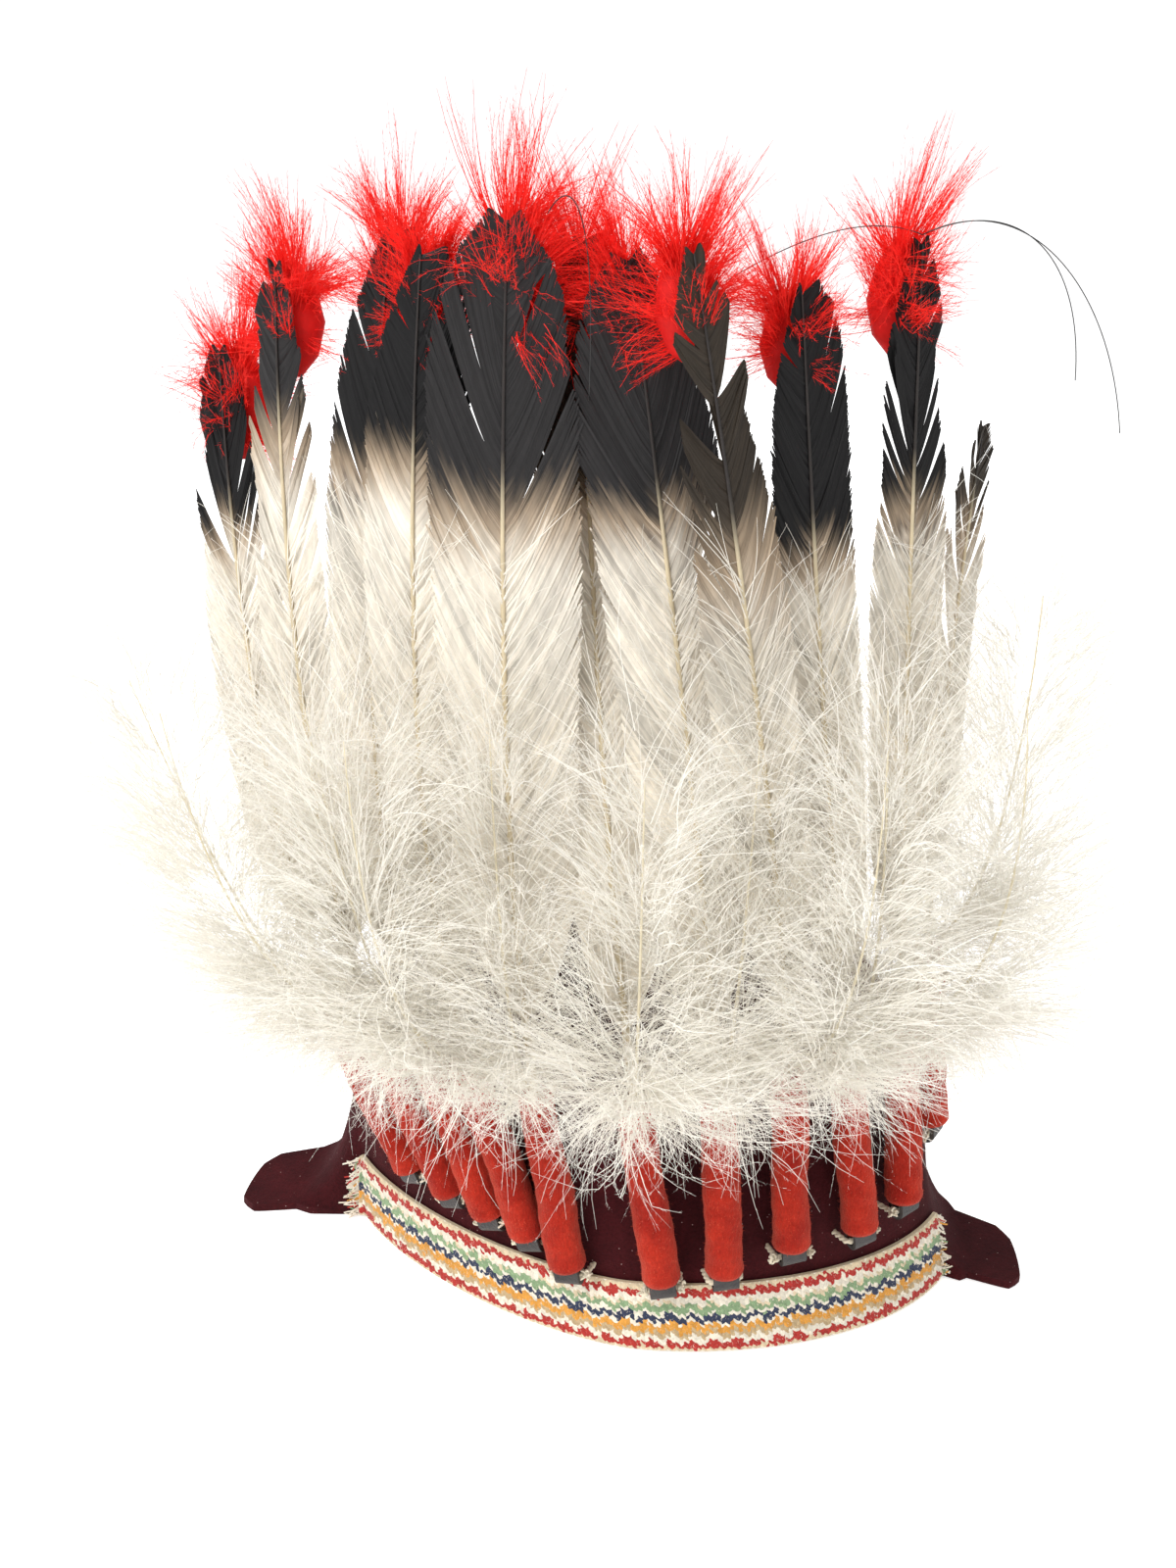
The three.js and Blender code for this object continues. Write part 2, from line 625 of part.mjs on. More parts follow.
// The down in front of a feather: a flattened middle with locks to its sides.
function plumeSolid(station, place) {
  const root = place.top.clone().addScaledVector(place.axis, 2.6).addScaledVector(place.out, 3.5);
  const lean = vec(-Math.tan(rad(station.plumeLean)), 0, 1).normalize();
  const front = place.out.clone().setZ(0).normalize();
  const sideways = vec(-front.y, front.x, 0);
  const rise = root.clone().addScaledVector(lean, plumeHeight * 0.25);
  const bend = rise.addScaledVector(front, station.plumeOut * 1.25);
  const top = root.clone().addScaledVector(lean, plumeHeight);
  top.addScaledVector(front, station.plumeOut * 0.8);
  const quill = new THREE.QuadraticBezierCurve3(root, bend, top);
  const parts = [lobedBody(quill, front, sideways, station.plumeWide)];
  for (const lock of plumeLocks) {
    const reach = sideways.clone().multiplyScalar(lock.side * station.plumeWide);
    reach.addScaledVector(front, lock.front);
    parts.push(lockSolid(quill.getPoint(lock.from), reach, lock.rise, lock.fat, 5, 4));
  }
  return joinAll(parts, 0.6);
}

// The plume's middle: rings along its quill whose every other corner stands out as a lock.
function lobedBody(quill, front, sideways, halfWidth) {
  const corners = 8;
  const points = [];
  const triangles = [];
  plumeBody.forEach((row, i) => {
    const middle = quill.getPoint(row.at);
    for (let k = 0; k < corners; k += 1) {
      const turn = (2 * Math.PI * (k + 0.5 * (i % 2))) / corners;
      const stand = (k + i) % 2 === 0 ? 1.08 : 0.84;
      const p = middle.clone();
      p.addScaledVector(sideways, row.wide * halfWidth * stand * Math.cos(turn));
      p.addScaledVector(front, row.thick * stand * Math.sin(turn));
      p.addScaledVector(up, k % 2 === 0 ? row.thick * 0.35 : -row.thick * 0.35);
      points.push(p);
    }
  });
  const rings = plumeBody.length;
  for (let i = 0; i + 1 < rings; i += 1) {
    for (let k = 0; k < corners; k += 1) {
      const a = i * corners + k;
      const b = i * corners + ((k + 1) % corners);
      triangles.push([a, b, b + corners], [a, b + corners, a + corners]);
    }
  }
  const last = (rings - 1) * corners;
  for (let k = 1; k + 1 < corners; k += 1) {
    triangles.push([0, k + 1, k], [last, last + k, last + k + 1]);
  }
  return facingOut(points, triangles);
}

// The scarlet tuft behind a feather's tip.
function tuftSolid(station, place) {
  const line = quillLine(station, place);
  const facing = vec(Math.sin(rad(station.turn)), -Math.cos(rad(station.turn)), 0);
  const right = vec(Math.cos(rad(station.turn)), Math.sin(rad(station.turn)), 0);
  const head = line.getPointAt(1).addScaledVector(line.getTangentAt(1), -14);
  head.addScaledVector(facing, -8);
  const size = station.tuft;
  const knot = [-9, 0, 7].map((d) => head.clone().addScaledVector(line.getTangentAt(1), d * size));
  const parts = [tubeSolid(knot, [2.0, 6.0, 3.0].map((r) => r * size), 6)];
  for (const lock of tuftLocks) {
    const reach = right.clone().multiplyScalar(lock.side * 12 * size);
    reach.addScaledVector(facing, -lock.back * 9 * size);
    parts.push(lockSolid(head, reach, lock.rise * size, lock.fat * size, 2, 4));
  }
  return joinAll(parts, 0.4);
}

// ---------------------------------------------------------------- the whole
// Moves the whole so that the middle of its box stands over the origin.
const shiftToMiddle = [18, -3.4, 0];

const looks = {
  cap: { color: 0x3a1119, roughness: 0.9, metalness: 0 },
  brow_trim: { color: 0xcfb997, roughness: 0.9, metalness: 0 },
  lacing_cord: { color: 0xe6dcc6, roughness: 0.85, metalness: 0 },
  loop: { color: 0x2a2524, roughness: 0.7, metalness: 0 },
  wrap: { color: 0xc4301f, roughness: 0.95, metalness: 0 },
  feather: { color: 0xd8d2c4, roughness: 0.6, metalness: 0 },
  down_plume: { color: 0xefece4, roughness: 0.95, metalness: 0 },
  tip_tuft: { color: 0xe0241c, roughness: 0.95, metalness: 0 },
};

const headdress = new THREE.Group();
headdress.name = 'feathered_headdress';

function addPiece(name, kind, solid) {
  const made = solid.translate(shiftToMiddle).getMesh();
  const geometry = new THREE.BufferGeometry();
  const positions = new Float32Array(made.numVert * 3);
  for (let i = 0; i < made.numVert; i += 1) {
    for (let k = 0; k < 3; k += 1) {
      positions[3 * i + k] = made.vertProperties[made.numProp * i + k];
    }
  }
  geometry.setAttribute('position', new THREE.BufferAttribute(positions, 3));
  geometry.setIndex(new THREE.BufferAttribute(new Uint32Array(made.triVerts), 1));
  const mesh = new THREE.Mesh(mergeVertices(geometry), new THREE.MeshStandardMaterial(looks[kind]));
  mesh.name = name;
  headdress.add(mesh);
}

const places = stations.map(placeOf);
const laceCut = laceSolid(places, (laceRadius + laceGap) * 1.3, 4);
addPiece('cap', 'cap', capSolid().subtract(laceCut));
addPiece('brow_trim', 'brow_trim', browTrimSolid());
addPiece('lacing_cord', 'lacing_cord', laceSolid(places, laceRadius, 5));
stations.forEach((station, i) => {
  const number = String(i + 1).padStart(2, '0');
  const place = places[i];
  addPiece(`loop_${number}`, 'loop', loopSolid(place));
  addPiece(`wrap_${number}`, 'wrap', wrapSolid(place, quillLine(station, place)));
  addPiece(`feather_${number}`, 'feather', featherSolid(station, place));
  addPiece(`down_plume_${number}`, 'down_plume', plumeSolid(station, place));
  if (station.tuft > 0) addPiece(`tip_tuft_${number}`, 'tip_tuft', tuftSolid(station, place));
});

export default headdress;
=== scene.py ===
"""Feathered headdress: the looks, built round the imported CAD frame. Sizes below are in
millimetres, as in the part's source, and are turned into metres when a mesh is made."""

import math

import bpy
import numpy as np
from mathutils import Matrix, Vector


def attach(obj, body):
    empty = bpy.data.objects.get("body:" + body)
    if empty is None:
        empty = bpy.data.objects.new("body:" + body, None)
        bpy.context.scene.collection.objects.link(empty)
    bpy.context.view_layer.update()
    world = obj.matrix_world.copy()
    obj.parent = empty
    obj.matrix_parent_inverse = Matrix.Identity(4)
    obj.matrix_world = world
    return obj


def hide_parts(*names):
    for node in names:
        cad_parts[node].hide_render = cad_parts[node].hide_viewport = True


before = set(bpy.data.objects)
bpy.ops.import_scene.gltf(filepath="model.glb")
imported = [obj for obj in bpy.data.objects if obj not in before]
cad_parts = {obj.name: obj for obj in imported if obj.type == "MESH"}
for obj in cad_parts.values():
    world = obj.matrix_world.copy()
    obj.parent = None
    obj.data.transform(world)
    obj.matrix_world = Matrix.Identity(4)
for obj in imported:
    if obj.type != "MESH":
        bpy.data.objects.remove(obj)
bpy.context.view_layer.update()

MM = 0.001
UP = np.array([0.0, 0.0, 1.0])

# ---------------------------------------------------------------- the part's own sizes
CAP_HALF_WIDTH = 84.0
CAP_FRONT_DEPTH = 60.0
CAP_BACK_DEPTH = 90.0
CAP_CENTRE_Y = 10.0
CAP_HEIGHT = 112.0
CAP_SKIN = 2.2
FRONT_LEFT_ROUNDNESS = 1.55
FRONT_RIGHT_ROUNDNESS = 1.85
BACK_ROUNDNESS = 2.1
CAP_LEAN = math.radians(8)
FLAP_ANGLE = 97.0
FLAP_CORE = 12.0
FLAP_BLEND = 4.0
FLAP_BEND_HEIGHT = 44.0
FLAP_BEND_REACH = 16.0
FLAP_TONGUE = 15.5
FLAP_TIP_CUT = 6.0
FLAP_FORWARD = math.radians(25)
TRIM_FLOOR_GAP = 0.6
TRIM_HEIGHT = 19.8
TRIM_THICKNESS = 1.3
TRIM_GAP = 0.5
TRIM_END_ANGLE = 82.0
WRAP_RADIUS = 5.0
WRAP_TOP_RADIUS = 4.5
WRAP_LENGTH = 52.0
WRAP_STAND_OFF = 5.9
LOOP_WIDTH = 6.8
LOOP_HALF_DEPTH = 2.45
LOOP_DROP = 5.2
LACE_RADIUS = 0.9
LACE_INWARD = WRAP_STAND_OFF + CAP_SKIN + 2.6
QUILL_DEPTH = 14.0
PLUME_HEIGHT = 108.0
SHIFT = np.array([18.0, -3.4, 0.0])
# Free strands stay inside this box round the part.
BOX_LOW = np.array([-137.0, -109.0, 3.0]) - SHIFT
BOX_HIGH = np.array([137.0, 109.0, 324.0]) - SHIFT

DOME = [(0, 1.0), (22, 0.985), (44, 0.955), (62, 0.90), (78, 0.81), (91, 0.68), (101, 0.52), (108.5, 0.32)]

COLUMNS = "angle lift lean tip turn vane cut plume_lean plume_out plume_wide tuft".split()
STATIONS = [
    dict(zip(COLUMNS, row))
    for row in (
        (-57.5, 35.5, 25, (-121, 2, 246), -22, 25, "spiked", 24, 12, 15, 1.05),
        (-45.5, 34.5, 24, (-103, -14, 271), -18, 20, "narrow", 19, 32, 15, 1.0),
        (-34, 33, 21.5, (-74, -22, 282), -12, 26, "slanted", 13, 12, 13, 0.95),
        (-23, 31, 20, (-64, -39, 281), -8, 26, "slanted", 9, 33, 16, 0.75),
        (-13, 25, 12, (-44, -46, 291), 0, 34, "broad", 5, 12, 15, 1.1),
        (9, 24.8, 11, (-31, -20, 283), 8, 26, "slanted", 2, 31, 19, 0.9),
        (24, 27, 6, (-18, -40, 283), 18, 32, "broad", 0, 12, 16, 0.95),
        (40, 32.5, 5.5, (-3, -56, 288), 26, 22, "spiked", -1, 33, 17, 1.0),
        (56, 33, 9.5, (20.5, -32, 277), 30, 22, "slanted", 4, 12, 15, 0.85),
        (67.5, 36.5, 6.5, (47, -12, 286), 38, 22, "spiked", 2, 31, 18, 1.0),
        (80, 51, 7, (67, 6, 240), 52, 20, "narrow", -2, 14, 17, 0),
    )
]
OUTLINES = {
    "broad": [(0, 0.30, 0.34), (0.14, 0.72, 0.80), (0.40, 0.90, 1.0), (0.68, 1.0, 1.0), (0.84, 0.98, 0.84),
              (0.94, 0.74, 0.60), (1, 0.24, 0.18)],
    "slanted": [(0, 0.30, 0.36), (0.14, 0.70, 0.84), (0.40, 0.86, 1.0), (0.68, 0.92, 1.0), (0.85, 0.74, 0.98),
                (0.95, 0.34, 0.80), (1, 0.04, 0.44)],
    "narrow": [(0, 0.34, 0.34), (0.14, 0.84, 0.90), (0.40, 1.0, 1.0), (0.66, 0.92, 0.84), (0.84, 0.72, 0.62),
               (0.94, 0.46, 0.40), (1, 0.12, 0.14)],
    "spiked": [(0, 0.32, 0.34), (0.14, 0.80, 0.84), (0.38, 1.0, 0.96), (0.60, 0.96, 1.0), (0.70, 0.78, 0.92),
               (0.78, 0.84, 0.70), (0.92, 0.56, 0.54), (1, 0.16, 0.14)],
}

# How each feather is coloured: the height where white turns to black, how wide the change
# is, the number of dark bars under it, its dark colour, and how ragged the vane is.
DARK = (0.006, 0.0055, 0.006)
SOOT = (0.020, 0.0185, 0.019)
UMBER = (0.034, 0.025, 0.017)
LOOKS = [
    dict(turns=203, blend=10, bars=0, dark=DARK, ragged=0.55),
    dict(turns=232, blend=22, bars=0, dark=SOOT, ragged=0.75),
    dict(turns=229, blend=14, bars=3, dark=DARK, ragged=0.25),
    dict(turns=231, blend=14, bars=0, dark=DARK, ragged=0.2),
    dict(turns=225, blend=18, bars=0, dark=SOOT, ragged=0.3),
    dict(turns=226, blend=14, bars=0, dark=UMBER, ragged=0.3),
    dict(turns=223, blend=12, bars=4, dark=SOOT, ragged=0.22),
    dict(turns=219, blend=30, bars=0, dark=UMBER, ragged=1.0),
    dict(turns=215, blend=12, bars=0, dark=DARK, ragged=0.3),
    dict(turns=226, blend=14, bars=3, dark=DARK, ragged=0.7),
    dict(turns=216, blend=20, bars=0, dark=UMBER, ragged=0.9),
]


# ---------------------------------------------------------------- small helpers
def unit(v):
    v = np.asarray(v, float)
    return v / np.maximum(np.linalg.norm(v, axis=-1, keepdims=True), 1e-12)


def smooth(t):
    t = np.clip(t, 0, 1)
    return t * t * (3 - 2 * t)


def mix(a, b, t):
    a, b, t = np.asarray(a, float), np.asarray(b, float), np.asarray(t, float)
    return a + (b - a) * (t[..., None] if a.ndim > 0 and t.ndim > 0 else t)


def curve_through(xs, ys, x):
    """A smooth curve through the points of a short table."""
    xs, ys = np.asarray(xs, float), np.asarray(ys, float)
    slope = np.gradient(ys, xs)
    i = np.clip(np.searchsorted(xs, x) - 1, 0, len(xs) - 2)
    h = xs[i + 1] - xs[i]
    t = np.clip((x - xs[i]) / h, 0, 1)
    a = (1 + 2 * t) * (1 - t) ** 2 * ys[i] + t * (1 - t) ** 2 * h * slope[i]
    return a + t * t * (3 - 2 * t) * ys[i + 1] + t * t * (t - 1) * h * slope[i + 1]


def wander(rng, n, k, size):
    """n smooth random walks of k steps, of about the given size at their ends, starting at 0."""
    steps = rng.normal(size=(n, k, 3))
    for _ in range(2):
        steps = np.cumsum(steps, axis=1)
        steps -= steps[:, :1]
    steps /= np.abs(steps[:, -1:]).mean() + 1e-9
    return steps * size


# ---------------------------------------------------------------- the cap's surface
def rim_radius(angle):
    angle = np.asarray(angle, float)
    c, s = np.cos(np.radians(angle)), np.abs(np.sin(np.radians(angle)))
    depth = np.where(c > 0, CAP_FRONT_DEPTH, CAP_BACK_DEPTH)
    front = np.where(angle > 0, FRONT_RIGHT_ROUNDNESS, FRONT_LEFT_ROUNDNESS)
    power = np.where(c > 0, front, BACK_ROUNDNESS)
    return ((s / CAP_HALF_WIDTH) ** power + (np.abs(c) / depth) ** power) ** (-1 / power)


def plan_point(angle, radius, z):
    a = np.radians(angle)
    x = radius * np.sin(a) - z * math.tan(CAP_LEAN)
    y = CAP_CENTRE_Y - radius * np.cos(a)
    return np.stack([x, y, np.broadcast_to(z, np.shape(x)).astype(float)], axis=-1)


def wall_size(height):
    return np.interp(height, [h for h, _ in DOME], [s for _, s in DOME])


def soft_wall_size(height):
    return curve_through([h for h, _ in DOME] + [CAP_HEIGHT], [s for _, s in DOME] + [0.0], height)


def flap_share(angle):
    away = np.abs(np.abs(angle) - FLAP_ANGLE) - FLAP_CORE
    return 1 - smooth(away / FLAP_BLEND)


def flap_direction(angle):
    side = np.where(np.asarray(angle) < 0, -1.0, 1.0)
    return np.stack([side * math.cos(FLAP_FORWARD), np.full_like(side, -math.sin(FLAP_FORWARD)),
                     np.zeros_like(side)], axis=-1)


def wall_point(angle, down):
    """A point on the wall's outer side below the bend: down is 0 at the bend, 1 at the rim."""
    angle = np.asarray(angle, float)
    share = flap_share(angle)[..., None]
    height = FLAP_BEND_HEIGHT * (1 - down)
    straight = plan_point(angle, rim_radius(angle) * wall_size(height), height)
    top = plan_point(angle, rim_radius(angle) * wall_size(FLAP_BEND_HEIGHT), FLAP_BEND_HEIGHT)
    turn = math.pi / 2 * down
    reach = FLAP_BEND_REACH * (1 - math.cos(turn)) + 1.5 * down
    bent = top + flap_direction(angle) * reach
    bent[..., 2] = CAP_SKIN + (FLAP_BEND_HEIGHT - CAP_SKIN) * (1 - math.sin(turn))
    return straight + (bent - straight) * share


# ---------------------------------------------------------------- places round the cap
def place_of(station):
    angle, lift = station["angle"], station["lift"]

    def flat(a):
        return plan_point(a, rim_radius(a) * wall_size(lift), 0.0)

    along = unit(flat(angle + 1) - flat(angle - 1))
    outward = np.cross(along, UP)
    foot = plan_point(angle, rim_radius(angle) * wall_size(lift), lift) + outward * WRAP_STAND_OFF
    axis = unit([-math.tan(math.radians(station["lean"])), 0, 1])
    across = unit(np.cross(axis, outward))
    out = unit(np.cross(across, axis))
    return dict(foot=foot, axis=axis, across=across, out=out, outward=outward, top=foot + axis * WRAP_LENGTH)


def bezier(points, t):
    """A Bezier curve of 3 or 4 control points at t. Control points may be arrays (n, 3)."""
    pts = [np.asarray(p, float)[..., None, :] for p in points]
    t = np.asarray(t, float)[..., None]
    while len(pts) > 1:
        pts = [a + (b - a) * t for a, b in zip(pts, pts[1:])]
    return pts[0]


class Line:
    """A curve known by its length: place and direction at a share of it."""

    def __init__(self, control, samples=240):
        self.points = bezier(control, np.linspace(0, 1, samples))
        gaps = np.linalg.norm(np.diff(self.points, axis=0), axis=1)
        self.marks = np.concatenate([[0], np.cumsum(gaps)])
        self.length = self.marks[-1]

    def at(self, share):
        s = np.asarray(share, float) * self.length
        return np.stack([np.interp(s, self.marks, self.points[:, i]) for i in range(3)], axis=-1)

    def along(self, share):
        share = np.clip(np.asarray(share, float), 0, 1)
        return unit(self.at(np.minimum(share + 0.01, 1)) - self.at(np.maximum(share - 0.01, 0)))


def quill_line(station, place):
    tip = np.array(station["tip"], float)
    start = place["foot"] + place["axis"] * (WRAP_LENGTH - QUILL_DEPTH)
    bend = place["top"] + place["axis"] * 0.3 * np.linalg.norm(tip - place["top"])
    return Line([start, bend, tip])


# ---------------------------------------------------------------- mesh building
class Build:
    """Collects strips, spikes, tubes and grids, and makes one mesh of them."""

    def __init__(self):
        self.points, self.tints, self.faces, self.maps = [], [], [], []
        self.count = 0

    def add(self, points, tints, faces, uv):
        """points (n, 3), tints (n, 3), faces (m, 3 or 4) and uv (m, 3 or 4, 2), in 0..1."""
        self.points.append(points.reshape(-1, 3))
        self.tints.append(np.broadcast_to(tints, points.shape).reshape(-1, 3))
        self.faces.append(faces + self.count)
        self.maps.append(uv)
        self.count += len(self.points[-1])

    def ribbons(self, centres, halves, tints):
        """Flat strips: centres and half-width vectors (n, k, 3)."""
        n, k, _ = centres.shape
        points = np.stack([centres - halves, centres + halves], axis=2)
        tint = np.broadcast_to(np.asarray(tints, float), centres.shape)[:, :, None, :].repeat(2, axis=2)
        first = (np.arange(n)[:, None] * k + np.arange(k - 1)[None, :])[..., None] * 2
        faces = (first + np.array([0, 1, 3, 2])).reshape(-1, 4)
        side = math.ceil(math.sqrt(n))
        cell = np.stack([np.arange(n) % side, np.arange(n) // side], axis=-1) / side
        step = np.arange(k - 1)[:, None] / (k - 1) + np.array([0, 0, 1, 1]) / (k - 1)
        across = np.broadcast_to(np.array([0.0, 1, 1, 0]), step.shape)
        local = (0.1 + 0.8 * np.stack([across, step], axis=-1)) / side
        uv = cell[:, None, None, :] + local[None]
        self.add(points, tint.reshape(points.shape), faces, uv.reshape(-1, 4, 2))

    def spikes(self, roots, halves, tips, tints):
        """Single triangles: roots, half-width vectors and tips (n, 3)."""
        n = len(roots)
        points = np.stack([roots - halves, roots + halves, tips], axis=1)
        tint = np.broadcast_to(np.asarray(tints, float), roots.shape)[:, None, :].repeat(3, axis=1)
        faces = np.arange(n * 3).reshape(n, 3)
        side = math.ceil(math.sqrt(n))
        cell = np.stack([np.arange(n) % side, np.arange(n) // side], axis=-1) / side
        local = np.array([[0.1, 0.1], [0.9, 0.1], [0.5, 0.9]]) / side
        self.add(points, tint, faces, cell[:, None, :] + local[None])

    def grid(self, points, tints, ring=False, flip=False):
        """A surface over points (rows, columns, 3); ring joins its last column to its first."""
        rows, columns, _ = points.shape
        span = columns if ring else columns - 1
        r, c = np.meshgrid(np.arange(rows - 1), np.arange(span), indexing="ij")
        after = (c + 1) % columns
        faces = np.stack([r * columns + c, r * columns + after, (r + 1) * columns + after,
                          (r + 1) * columns + c], axis=-1).reshape(-1, 4)
        u = np.stack([c, c + 1, c + 1, c], axis=-1) / span
        v = np.stack([r, r, r + 1, r + 1], axis=-1) / (rows - 1)
        uv = np.stack([u, v], axis=-1).reshape(-1, 4, 2)
        if flip:
            faces, uv = faces[:, ::-1], uv[:, ::-1]
        self.add(points, tints, faces, uv)

    def tube(self, path, radii, sides, tints, start_side=(1.0, 0.0, 0.0), squash=1.0):
        """A tube with closed ends along path (k, 3)."""
        path = np.asarray(path, float)
        radii = np.broadcast_to(radii, len(path))
        along = unit(np.gradient(path, axis=0))
        side = np.array(start_side, float)
        rings = []
        turn = 2 * np.pi * np.arange(sides) / sides
        for p, a, r in zip(path, along, radii):
            side = unit(side - a * side.dot(a))
            other = np.cross(a, side)
            rings.append(p + r * (np.cos(turn)[:, None] * side + squash * np.sin(turn)[:, None] * other))
        rings = [np.repeat(path[:1], sides, 0), *rings, np.repeat(path[-1:], sides, 0)]
        tints = np.asarray(tints, float)
        if tints.ndim == 2:
            tints = np.concatenate([tints[:1], tints, tints[-1:]])[:, None, :].repeat(sides, axis=1)
        self.grid(np.array(rings), tints, ring=True)

    def object(self, name, material, flat=False):
        mesh = bpy.data.meshes.new(name)
        points = (np.concatenate(self.points) + SHIFT) * MM
        mesh.vertices.add(len(points))
        mesh.vertices.foreach_set("co", points.astype(np.float32).ravel())
        corners = np.concatenate([f.ravel() for f in self.faces])
        totals = np.concatenate([np.full(len(f), f.shape[1]) for f in self.faces])
        mesh.loops.add(len(corners))
        mesh.loops.foreach_set("vertex_index", corners.astype(np.int32))
        mesh.polygons.add(len(totals))
        mesh.polygons.foreach_set("loop_start", np.concatenate([[0], np.cumsum(totals)[:-1]]).astype(np.int32))
        mesh.polygons.foreach_set("use_smooth", np.full(len(totals), not flat))
        layer = mesh.uv_layers.new(name="OFBake")
        weights = np.array([math.sqrt(len(f)) for f in self.faces])
        floors = np.concatenate([[0], np.cumsum(weights)]) / weights.sum()
        maps = []
        for uv, low, high in zip(self.maps, floors, floors[1:]):
            part = uv.reshape(-1, 2).copy()
            part[:, 1] = low + (0.01 + 0.98 * part[:, 1]) * (high - low)
            maps.append(part)
        layer.uv.foreach_set("vector", np.concatenate(maps).astype(np.float32).ravel())
        tint = mesh.color_attributes.new("tint", "FLOAT_COLOR", "POINT")
        rgba = np.ones((len(points), 4), np.float32)
        rgba[:, :3] = np.concatenate(self.tints)
        tint.data.foreach_set("color", rgba.ravel())
        mesh.update()
        mesh.validate()
        mesh.materials.append(material)
        made = bpy.data.objects.new(name, mesh)
        bpy.context.scene.collection.objects.link(made)
        return made


def dress(build, name, material, slot, *nodes, flat=False):
    """Makes the piece, sets it on the part, and lets it stand for its CAD nodes."""
    made = build.object(name, material, flat)
    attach(made, "root")
    if nodes:
        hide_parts(*nodes)
    return made


# ---------------------------------------------------------------- materials
class Shader:
    """A material's node tree, with short ways to add and join nodes."""

    def __init__(self, name):
        self.material = bpy.data.materials.new(name)
        self.material.use_nodes = True
        self.tree = self.material.node_tree
        self.tree.nodes.clear()
        self.out = self.tree.nodes.new("ShaderNodeOutputMaterial")

    def node(self, kind, **values):
        made = self.tree.nodes.new("ShaderNode" + kind)
        for key, value in values.items():
            if key in made.inputs:
                self.put(made.inputs[key], value)
            else:
                setattr(made, key, value)
        return made

    def put(self, socket, value):
        if isinstance(value, bpy.types.NodeSocket):
            self.tree.links.new(value, socket)
        elif isinstance(value, (tuple, list)) and socket.type == "RGBA" and len(value) == 3:
            socket.default_value = (*value, 1)
        else:
            socket.default_value = value

    def tint(self):
        return self.node("Attribute", attribute_name="tint").outputs["Color"]

    def noise(self, scale, detail=3.0, rough=0.6, stretch=None, coords=None):
        where = coords or self.node("TexCoord").outputs["Object"]
        if stretch:
            where = self.node("Mapping", Vector=where, Scale=stretch).outputs[0]
        return self.node("TexNoise", Vector=where, Scale=scale, Detail=detail, Roughness=rough).outputs[0]

    def span(self, value, low, high, out_low, out_high):
        made = self.node("MapRange")
        for index, v in enumerate((value, low, high, out_low, out_high)):
            self.put(made.inputs[index], v)
        return made.outputs[0]

    def scaled(self, colour, factor):
        """The colour times a number that varies."""
        made = self.node("Mix", data_type="RGBA", blend_type="MULTIPLY")
        self.put(made.inputs[0], 1.0)
        self.put(made.inputs[6], colour)
        grey = self.node("CombineColor")
        for i in range(3):
            self.put(grey.inputs[i], factor)
        self.put(made.inputs[7], grey.outputs[0])
        return made.outputs[2]

    def blended(self, a, b, factor):
        made = self.node("Mix", data_type="RGBA")
        self.put(made.inputs[0], factor)
        self.put(made.inputs[6], a)
        self.put(made.inputs[7], b)
        return made.outputs[2]

    def bump(self, height, strength, distance):
        return self.node("Bump", Height=height, Strength=strength, Distance=distance).outputs[0]

    def finish(self, shader):
        self.tree.links.new(shader, self.out.inputs["Surface"])
        return self.material


def principled(s, colour, rough, normal=None, sheen=0.0, sheen_rough=0.5, sheen_tint=None, specular=0.5):
    made = s.node("BsdfPrincipled")
    s.put(made.inputs["Base Color"], colour)
    s.put(made.inputs["Roughness"], rough)
    made.inputs["Specular IOR Level"].default_value = specular
    made.inputs["Sheen Weight"].default_value = sheen
    made.inputs["Sheen Roughness"].default_value = sheen_rough
    if sheen_tint:
        made.inputs["Sheen Tint"].default_value = (*sheen_tint, 1)
    if normal is not None:
        s.put(made.inputs["Normal"], normal)
    return made.outputs[0]


def thin_material(name, through, rough=0.7, variation=0.12, scale=300.0, sheen=0.0, specular=0.3):
    """A material for thin strips that lets some light through them."""
    s = Shader(name)
    tone = s.span(s.noise(scale, 2.0), 0.3, 0.7, 1 - variation, 1 + variation)
    colour = s.scaled(s.tint(), tone)
    face = principled(s, colour, rough, sheen=sheen, specular=specular)
    back = s.node("BsdfTranslucent", Color=colour).outputs[0]
    both = s.node("MixShader")
    s.put(both.inputs[0], through)
    s.put(both.inputs[1], face)
    s.put(both.inputs[2], back)
    return s.finish(both.outputs[0])


def felt_material():
    s = Shader("red_felt")
    broad = s.noise(90.0, 3.0)
    fine = s.noise(1500.0, 4.0, 0.7, stretch=(1.0, 1.0, 0.45))
    colour = s.blended((0.27, 0.010, 0.006), (0.46, 0.028, 0.013), s.span(broad, 0.3, 0.7, 0.0, 1.0))
    colour = s.scaled(colour, s.span(fine, 0.25, 0.75, 0.66, 1.25))
    height = s.bump(fine, 0.9, 0.0006)
    shade = principled(s, colour, 0.95, height, sheen=0.35, sheen_rough=0.45, sheen_tint=(1.0, 0.35, 0.25),
                       specular=0.12)
    return s.finish(shade)


